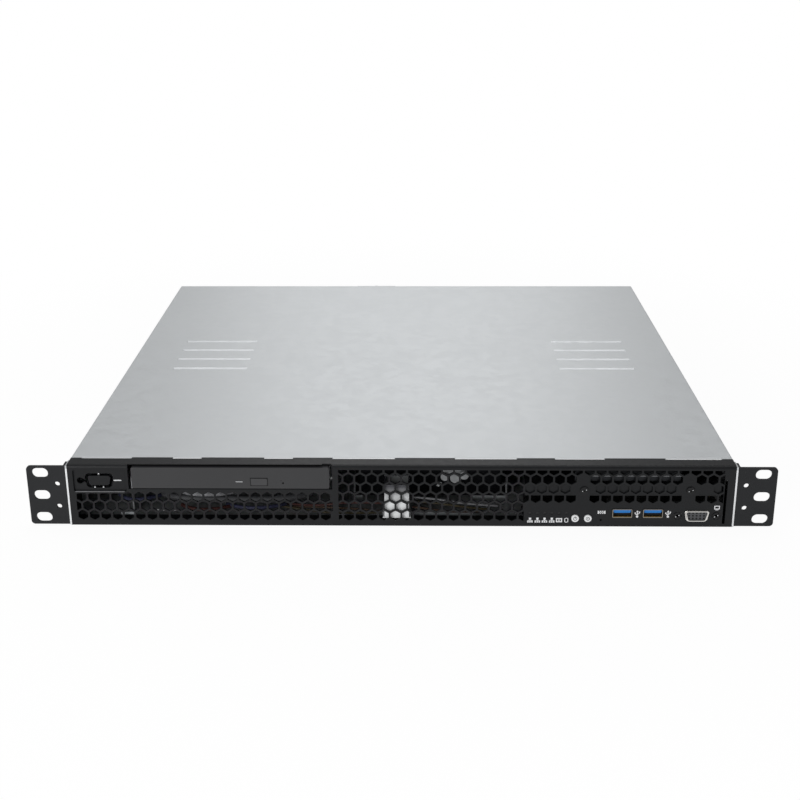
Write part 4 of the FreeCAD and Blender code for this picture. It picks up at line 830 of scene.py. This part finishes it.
# loose leads behind the grille: sleeve, radius and route
wireSettings = {"brownWire": ("orangeSleeve", 0.7, [(-72, 20, 2.9), (-50, 12, 7), (-30, 8, 8),
    (-12.5, 8, 6.4)]), "yellowWire": ("yellowSleeve", 0.7,
    [(-84, 22, 2.9), (-58, 10, 5), (-38, 7, 5), (-12.5, 10, 4.2)]),
    "redWire": ("redSleeve", 0.7, [(-76, 24, 3.0), (-56, 9, 9), (-34, 12, 11), (-12.5, 12, 10)]),
    "orangeWire": ("orangeSleeve", 0.7, [(8, 9, 9), (22, 7, 8), (36, 9, 5), (52, 14, 3.0)]),
    "goldWire": ("yellowSleeve", 0.7, [(8, 11, 12), (24, 9, 12), (40, 9, 9), (58, 14, 4.6)]),
    "greyWire": ("greySleeve", 0.7, [(8, 12, 14.5), (26, 10, 14), (44, 9, 11), (64, 15, 6.6)]),
    "greyTube": ("greySleeve", 2.0, [(-148, 22, 15), (-141, 7, 19.4), (-114, 7, 19.2), (-106, 22, 15)]),
    "redLead": ("redSleeve", 1.2, [(-146, 19, 4.6), (-138, 9, 6.4), (-120, 9, 6.4), (-111, 19, 4.6)]),
    "blueLead": ("blueSleeve", 1.2, [(-116, 20, 4.8), (-107, 10, 7.2), (-87, 10, 7.2), (-77, 20, 4.8)]),
    "tealLead": ("blueSleeve", 1.2, [(-188, 22, 10.5), (-181, 10, 13.2), (-168, 10, 13.2),
    (-160, 22, 10.5)]), "slateTube": ("slateSleeve", 2.2,
    [(-160, 24, 11), (-150, 12, 13.2), (-110, 11, 13.0), (-72, 12, 12.6), (-60, 24, 11)]),}
for name, (sleeve, radius, route) in wireSettings.items():
    made, length = cordCurve(name, route, radius, sleeve)
    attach(made, "chassis")
print("stage: wires")


# small parts strewn over the free places of the board, from a fixed seed
def strewnTree(name):
    tree = Growth(name, {"Spacing": 0.004, "Density": 30000.0, "Seed": 5,
        "Smallest": (0.001, 0.001, 0.0005), "Largest": (0.003, 0.003, 0.001)})
    points = tree.node("GeometryNodeDistributePointsOnFaces", {"distribute_method": "POISSON"},
        {"Mesh": tree.entry.outputs["Geometry"], "Distance Min": tree.size("Spacing"),
        "Density Max": tree.size("Density"), "Seed": tree.size("Seed")})
    spread = tree.node("FunctionNodeRandomValue", {"data_type": "FLOAT_VECTOR"},
        {0: tree.size("Smallest"), 1: tree.size("Largest"), "Seed": tree.size("Seed")})
    cube = tree.node("GeometryNodeMeshCube", {}, {"Size": (1.0, 1.0, 1.0)})
    cube = tree.change(cube, Translation=(0.0, 0.0, 0.5))
    tree.end(tree.node("GeometryNodeInstanceOnPoints", {},
        {"Points": points, "Instance": cube, "Scale": spread}))
    return tree


strewn = strewnTree("strewnParts")
boardSettings = {"top": 8.62, "zones": ((43, 71, 264, 276), (43, 71, 304, 318), (45, 72, 342, 352),
    (78, 168, 344, 353), (126, 168, 322, 343), (100, 168, 212, 214), (198, 205, 222, 366),
    (45, 70, 222, 256)), "capPlaces": [(104 + 7.4 * index, 220.5) for index in range(9)], "capRadius": 2.6,
    "capHigh": 7.5, "sinkPlace": (57, 290), "cellPlace": (57.5, 330.0),
    "chips": ((112, 334, 12, 12, 1.4), (60, 240, 14, 9, 1.2), (150, 334, 8, 8, 1.2),
    (201.5, 240, 5, 7, 1.2), (201.5, 300, 5, 5, 1.2))}


def boardParts():
    top = boardSettings["top"]
    for name, finishName, seed, spacing, small, large in (
            ("boardResistors", "ceramic", 5, 2.6, (0.0008, 0.0008, 0.0004), (0.0016, 0.0012, 0.0007)),
            ("boardChips", "chipPackage", 11, 5.0, (0.0016, 0.0016, 0.0008), (0.0036, 0.0032, 0.0013))):
        bm = bmesh.new()
        for x0, x1, y0, y1 in boardSettings["zones"]:
            bm.faces.new([bm.verts.new(spot(x, y, top - 0.05))
                for x, y in ((x0, y0), (x1, y0), (x1, y1), (x0, y1))])
        base = bpy.data.meshes.new(name + "Zones")
        bm.to_mesh(base)
        bm.free()
        strewn.grow(name, "chassis", finishName, {"Spacing": spacing * mm, "Seed": seed, "Smallest": small,
            "Largest": large}, base)
    radius, high = pick(boardSettings, "capRadius capHigh")
    profile = [(0, 0), (radius, 0), (radius, 0.7), (radius - 0.3, 1.1), (radius, 1.5), (radius, high - 0.3),
        (radius - 0.3, high), (0, high)]
    arc = [math.pi * (0.65 + 0.07 * index) for index in range(11)]
    marks = [[[(x + (radius - 0.35) * math.cos(s), y + (radius - 0.35) * math.sin(s), top + high + rise)
        for s in arc] for rise in (-0.02, 0.05)] for x, y in boardSettings["capPlaces"]]
    shapePiece("capacitors", "zincPlate", [(addTurned, (x, y, top), "z", profile, 18)
        for x, y in boardSettings["capPlaces"]])
    shapePiece("capacitorMarks", "chipPackage", [(addPrism, *mark) for mark in marks])
    blockPiece("largeChips", "chipPackage", [(x - wide / 2, x + wide / 2, y - deep / 2, y + deep / 2,
        top - 0.05, top + high) for x, y, wide, deep, high in boardSettings["chips"]], 0.15)
    growRows(floorBlocks, "inductors", "slateAlloy", 9, 1, 7.4, 1.0, (5.6, 4.6, 4.2),
        (133.6, 214.6, top + 2.1))
    x, y = boardSettings["sinkPlace"]
    growRows(floorBlocks, "smallSinkFins", "aluminium", 9, 1, 2.6, 1.0, (0.9, 22.0, 7.5), (x, y, top + 6.4))
    blockPiece("smallSinkBase", "aluminium", [(x - reach, x + reach, y - reach, y + reach, top + low,
        top + up) for reach, low, up in ((11.5, 1.4, 3.0), (8.5, -0.05, 1.4))], 0.3)
    x, y = boardSettings["cellPlace"]
    holder = [(0, 0), (11.2, 0), (11.2, 2.4), (10.3, 2.4), (10.3, 0.6), (0, 0.6)]
    cell = [(0, 0.7), (9.9, 0.7), (10.0, 1.2), (10.0, 3.4), (9.7, 3.8), (0, 3.8)]
    shapePiece("cellHolder", "fanPlastic", [(addTurned, (x, y, top), "z", holder, 32)])
    shapePiece("coinCell", "nickel", [(addTurned, (x, y, top), "z", cell, 36),
        (addBlock, x - 1.6, x + 1.6, y + 7.0, y + 12.6, top + 3.8, top + 4.1),
        (addBlock, x - 1.6, x + 1.6, y + 12.2, y + 12.6, top, top + 4.1)])
    print("stage: board parts")


boardParts()

# drive connectors with painted shade in their wells, expansion slot, pin headers
socketSettings = {"driveRow": (84.0, 336.0), "drivePitch": 7.4, "slot": (163.4, 169.4, 228.0, 312.0, 19.4)}


def boardSockets():
    top = boardSettings["top"]
    x, y = socketSettings["driveRow"]
    pitch = socketSettings["drivePitch"]
    for name, finishName, size, rise in (("s", "bluePlastic", (5.4, 14.6, 8.0), 4.0),
            ("Wells", "darkHole", (3.2, 12.2, 0.2), 8.0), ("Tongues", "gold", (1.0, 9.6, 0.3), 8.05)):
        growRows(floorBlocks, "driveSocket" + name, finishName, 3, 1, pitch, 1.0, size,
            (x + pitch, y, top + rise))
    x0, x1, y0, y1, high = socketSettings["slot"]
    walls = [(left, right, y0, y1, top - 0.05, high) for left, right in ((x0, x0 + 2.2), (x1 - 2.2, x1))]
    bars = [(x0 + 2.1, x1 - 2.1, near, far, high - 5.1, high)
            for near, far in ((y0, y0 + 1.6), (y0 + 14.0, y0 + 15.8), (y1 - 1.6, y1))]
    floor = (x0 + 2.1, x1 - 2.1, y0, y1, top - 0.05, high - 5.0)
    blockPiece("expansionSlot", "ivoryPlastic", walls + [floor] + bars)
    growRows(floorBlocks, "slotContacts", "gold", 2, 38, 1.5, 1.7, (0.25, 0.7, 4.0),
        ((x0 + x1) / 2, (y0 + y1) / 2 + 6.5, high - 2.6))
    growRows(floorBlocks, "headerBlocks", "fanPlastic", 10, 2, 2.54, 2.54, (2.5, 2.5, 2.5),
        (150.0, 349.0, top + 1.25))
    growRows(floorBlocks, "headerPins", "gold", 10, 2, 2.54, 2.54, (0.64, 0.64, 8.4),
        (150.0, 349.0, top + 4.2))


boardSockets()

# memory chips stand a hair proud of the card's own
memorySettings = {"places": (178.0, 190.0), "groups": (247.9, 314.3), "pitch": 15.6,
    "size": (3.5, 9.1, 9.6), "level": 21.95}
for number, x in enumerate(memorySettings["places"], 1):
    for letter, y in zip("ab", memorySettings["groups"]):
        growRows(floorBlocks, "memoryChips%d%s" % (number, letter), "chipPackage", 1, 4, 1.0,
            memorySettings["pitch"], memorySettings["size"], (x, y, memorySettings["level"]))
print("stage: sockets and memory")

# rear ports: frames, liners, tongues and contacts in the cans of the row; painted shade on the jacks' backs
# and in the display socket's pin holes
portSettings = {"tall": (58.0, 80.0), "short": (102.0, 124.0), "mouth": 380.2, "back": 368.7, "floor": 9.4,
    "divider": 21.2, "upper": 22.2, "screenX": 156.0, "screenLevel": 15.1}


def networkLiner(bm, x, low, high, mouth):
    z = (low + high) / 2
    half = (high - low) / 2 - 0.03
    outer = [(-7.35, -half), (-3.1, -half), (-2.9, -half), (2.9, -half), (3.1, -half), (7.35, -half),
        (7.35, half), (-7.35, half)]
    inner = [(-5.9, -3.0), (-3.1, -3.0), (-2.9, -4.5), (2.9, -4.5), (3.1, -3.0), (5.9, -3.0), (5.9, 4.3),
        (-5.9, 4.3)]
    addBand(bm, [(x + u, z + v) for u, v in outer], [(x + u, z + v) for u, v in inner],
        portSettings["back"] - 0.1, mouth)


def rearPorts():
    mouth, back, low, divider, upper, x, z = pick(portSettings,
        "mouth back floor divider upper screenX screenLevel")
    outline = [(x - 7.2, z + 3.2), (x - 5.8, z - 3.2), (x + 5.8, z - 3.2), (x + 7.2, z + 3.2)]
    shapePiece("screenInsert", "bluePlastic", [(addPlate, outline, 378.0, 383.6)], 0.4)
    growRows(frontRods, "screenPinHoles", "darkHole", 5, 3, 2.3, 1.95, (1.0, 0.12, 1.0), (x, 383.62, z))
    profile = [(0, 0), (2.7, 0), (2.7, 4.4), (2.3, 4.8), (1.3, 4.8), (1.3, 3.4), (0, 3.4)]
    shapePiece("screenPosts", "zincPlate", [(addTurned, (x + side * 12.5, 379.0, z), "y", profile, 6)
        for side in (-1, 1)])
    liners, backs, frames, tongues, lamps = (bmesh.new() for count in range(5))
    jacks = [(x, upper, 33.8) for x in portSettings["tall"]] + [(x, low, 21.8)
        for x in portSettings["short"]]
    for number, (x, bottom, top) in enumerate(jacks, 1):
        middle = (bottom + top) / 2
        networkLiner(liners, x, bottom, top, mouth - 0.3)
        addBlock(backs, x - 7.3, x + 7.3, back - 0.25, back, bottom + 0.05, top - 0.05)
        growRows(frontBlocks, "networkContacts%d" % number, "gold", 8, 1, 1.02, 1.0, (0.42, 7.5, 0.3),
            (x, 375.2, middle + 3.7))
        for left in (x - 6.0, x + 4.0):
            addBlock(lamps, left, left + 2.0, mouth - 0.4, mouth - 0.22, middle - 5.0, middle - 3.9)
    for x in portSettings["tall"]:
        addBlock(backs, x - 7.3, x + 7.3, back - 0.25, back, low + 0.05, divider - 0.05)
        for z0, z1 in ((low, low + 0.5), (low + 5.6, low + 6.2), (divider - 0.5, divider)):
            addBlock(frames, x - 7.35, x + 7.35, back, mouth, z0, z1)
        for left in (x - 7.35, x + 6.5):
            addBlock(frames, left, left + 0.85, back, mouth - 0.05, low + 0.4, divider - 0.4)
        for z in (low + 3.2, low + 8.9):
            addBlock(tongues, x - 5.6, x + 5.6, back - 0.1, mouth - 0.8, z, z + 1.9)
    for name, finishName, bm in (("networkLiners", "fanPlastic", liners), ("portBacks", "darkHole", backs),
            ("portFrames", "nickel", frames), ("rearTongues", "bluePlastic", tongues),
            ("portLamps", "lensGlass", lamps)):
        makePiece(name, finishName, bm)


rearPorts()

# inlet blades, the rocker's two marks, screws on the rear wall and the thumbscrew's knurl; painted shade in
# the screws' and the thumbscrew's slots
rearSettings = {"bladePlaces": ((-138.0, 14.5), (-131.0, 19.5), (-124.0, 14.5)),
    "rocker": (-131.0, 34.0, 379.95), "screwPlaces": ((-202.5, 6.0), (-112.5, 6.0), (-158.0, 36.0)),
    "screwFace": 380.0, "thumb": (-27.7, 383.65, 37.0), "thumbEnd": 385.6}


def rearParts():
    blockPiece("inletBlades", "nickel", [(x - 1.08, x + 1.08, 364.1, 376.2, z - 2.08, z + 2.08)
        for x, z in rearSettings["bladePlaces"]], 0.3)
    x, z, face = rearSettings["rocker"]
    rings = [roundPoints(x + 2.9, z, radius, 14) for radius in (0.95, 0.6)]
    shapePiece("rockerMarks", "whiteInk", [(addBlock, x - 3.2, x - 2.8, face - 0.2, face + 0.1, z - 0.9,
        z + 0.9), (addBand, *rings, face - 0.2, face + 0.1)], body="psu_switch")
    face = rearSettings["screwFace"]
    profile = [(0, 0), (2.9, 0), (2.9, 0.5), (2.3, 1.2), (1.2, 1.5), (0, 1.55)]
    places = rearSettings["screwPlaces"]
    shapePiece("rearScrews", "zincPlate", [(addTurned, (x, face, z), "y", profile, 20) for x, z in places])
    shapePiece("rearScrewSlots", "darkHole", [(crossRecess, (x, face + 1.53, z), "y", 1.3, 0.3, 0.05)
        for x, z in places])
    x, y, z = rearSettings["thumb"]
    growRing(frontRing, "thumbKnurl", "cover_thumbscrew", "zincPlate", 30, 4.75, (0.55, 3.2, 0.55),
        (x, y, z))
    end = rearSettings["thumbEnd"]
    blockPiece("thumbSlot", "darkHole", [(x - 3.6, x + 3.6, end, end + 0.12, z - 0.45, z + 0.45)],
        body="cover_thumbscrew")


rearParts()
print("stage: rear ports and screws")

# fan hubs, drive lid screws, the disc clamp and the lens; painted shade in the lid screws' slots
innerSettings = {"fans": ((66.0, 21.0), (118.0, 21.0), (170.0, 21.0)), "hubFace": 187.0, "hubRadius": 8.2,
    "lidScrews": [(u, v) for u in (-27.6, 67.6) for v in (40.0, 109.0, 179.0)] + [(20.0, 40.0)],
    "rearLidScrews": [(u, v) for u in (-83.6, 11.6) for v in (219.0, 288.0, 358.0)] + [(-36.0, 358.0)],
    "lidTop": 29.6, "disc": (-109.6, 66.6), "clampLevel": 35.0, "lens": (-80.6, 66.6, 34.8)}


def innerParts():
    face, radius, top, level = pick(innerSettings, "hubFace hubRadius lidTop clampLevel")
    profile = [(0, -0.12), (radius, -0.12), (radius, 0.05), (0, 0.05)]
    for number, (x, z) in enumerate(innerSettings["fans"], 1):
        shapePiece("hubDisc%d" % number, "paleLabel", [(addTurned, (x, face, z), "y", profile, 32)],
            body="fan_rotor_%d" % number)
    profile = [(0, 0), (1.7, 0), (1.7, 0.25), (1.4, 0.4), (0, 0.4)]
    places = innerSettings["lidScrews"] + innerSettings["rearLidScrews"]
    shapePiece("lidScrews", "zincPlate", [(addTurned, (x, y, top), "z", profile, 16) for x, y in places])
    shapePiece("lidScrewSlots", "darkHole", [(crossRecess, (x, y, top + 0.4), "z", 0.8, 0.2, 0.03)
        for x, y in places])
    x, y = innerSettings["disc"]
    growRing(levelRing, "clampBalls", "disc_spindle", "nickel", 3, 6.6, (1.8, 1.8, 0.9), (x, y, level))
    profile = [(8.2, 33.28), (8.2, 33.5), (12.4, 33.5), (12.4, 33.28), (8.2, 33.28)]
    shapePiece("discRubber", "rubber", [(addTurned, (x, y, 0), "z", profile, 40)], body="disc_spindle")
    profile = [(0, 0), (1.9, 0), (1.8, 0.25), (1.1, 0.5), (0, 0.6)]
    shapePiece("sledLens", "lensGlass", [(addTurned, innerSettings["lens"], "z", profile, 24)],
        body="laser_sled")


innerParts()
print("stage: fans, drives and disc")

studioSettings = {"floorSize": 14.0, "floorDrop": 0.0003, "worldLight": 0.38, "shadowReach": 0.30,
    "nearWhite": 0.93}


# pale floor: it keeps the shadow near the object and turns white to the camera farther out
def floorFinish():
    finish = Finish("studioFloor")
    cloud = finish.noise(3.0, 2.0)
    finish.surface(Base_Color=finish.blend(cloud, tone(247, 247, 247), tone(250, 250, 250)), Roughness=0.9)
    away = finish.node("ShaderNodeVectorMath", {"operation": "MULTIPLY"},
        {0: finish.place, 1: (0.8, 0.8, 0.0)})
    away = finish.node("ShaderNodeVectorMath", {"operation": "LENGTH"}, {0: away}, "Value")
    near = studioSettings["nearWhite"]
    rising = finish.node("ShaderNodeMapRange", {"interpolation_type": "SMOOTHSTEP"},
        {"Value": away, "From Min": 0.16, "From Max": 0.16 + studioSettings["shadowReach"], "To Min": near,
        "To Max": 1.0})
    paths = [finish.node("ShaderNodeLightPath", output=kind)
        for kind in ("Is Camera Ray", "Is Glossy Ray", "Is Transmission Ray")]
    seen = paths[0] + paths[1] * 0.3 + paths[2] > 0.2
    glow = finish.node("ShaderNodeEmission", {}, {"Color": white, "Strength": 1.0})
    mixed = finish.node("ShaderNodeMixShader", {}, {0: rising * seen,
        1: Signal(finish, finish.shader.outputs[0]), 2: glow})
    feed(finish.tree, finish.output.inputs[0], mixed)
    return finish.material


floorMesh = bpy.data.meshes.new("studioFloor")
half = studioSettings["floorSize"] / 2
floorLevel = cadBox[0][2] - studioSettings["floorDrop"]
floorMesh.from_pydata([(-half, -half, floorLevel), (half, -half, floorLevel), (half, half, floorLevel),
    (-half, half, floorLevel)], [], [(0, 1, 2, 3)])
floorObject = bpy.data.objects.new("studioFloor", floorMesh)
floorMesh.materials.append(floorFinish())
bpy.context.scene.collection.objects.link(floorObject)

world = bpy.data.worlds.new("studioWorld")
bpy.context.scene.world = world
world.use_nodes = True
worldTree = world.node_tree
worldTree.nodes.clear()
lit, shown = [addNode(worldTree, "ShaderNodeBackground", {}, {"Color": white, "Strength": strength})
    for strength in (studioSettings["worldLight"], 1.0)]
ray = addNode(worldTree, "ShaderNodeLightPath", output="Is Camera Ray")
choice = addNode(worldTree, "ShaderNodeMixShader", {}, {0: ray, 1: lit, 2: shown})
worldTree.links.new(choice, worldTree.nodes.new("ShaderNodeOutputWorld").inputs[0])

lampSettings = [{"name": "overheadBox", "place": (0.0, 0.1, 1.3), "aim": (0, 0.0, 0), "size": (1.0, 1.0),
    "power": 7.0}, {"name": "backBox", "place": (0.0, 1.7, 0.9), "aim": (0, 0.0, 0.0), "size": (0.9, 0.9),
    "power": 3.2}, {"name": "frontBox", "place": (-0.95, -1.35, 0.5), "aim": (-0.1, 0, 0.02),
    "size": (0.8, 0.8), "power": 12.0},]
for lamp in lampSettings:
    lampData = bpy.data.lights.new(lamp["name"], "AREA")
    lampData.shape = "RECTANGLE"
    lampData.size, lampData.size_y = lamp["size"]
    lampData.energy = lamp["power"]
    lampObject = bpy.data.objects.new(lamp["name"], lampData)
    lampObject.location = lamp["place"]
    look = Vector(lamp["aim"]) - Vector(lamp["place"])
    lampObject.rotation_euler = look.to_track_quat("-Z", "Y").to_euler()
    bpy.context.scene.collection.objects.link(lampObject)

bpy.context.scene.view_settings.view_transform = "Standard"
print("stage: studio ready")
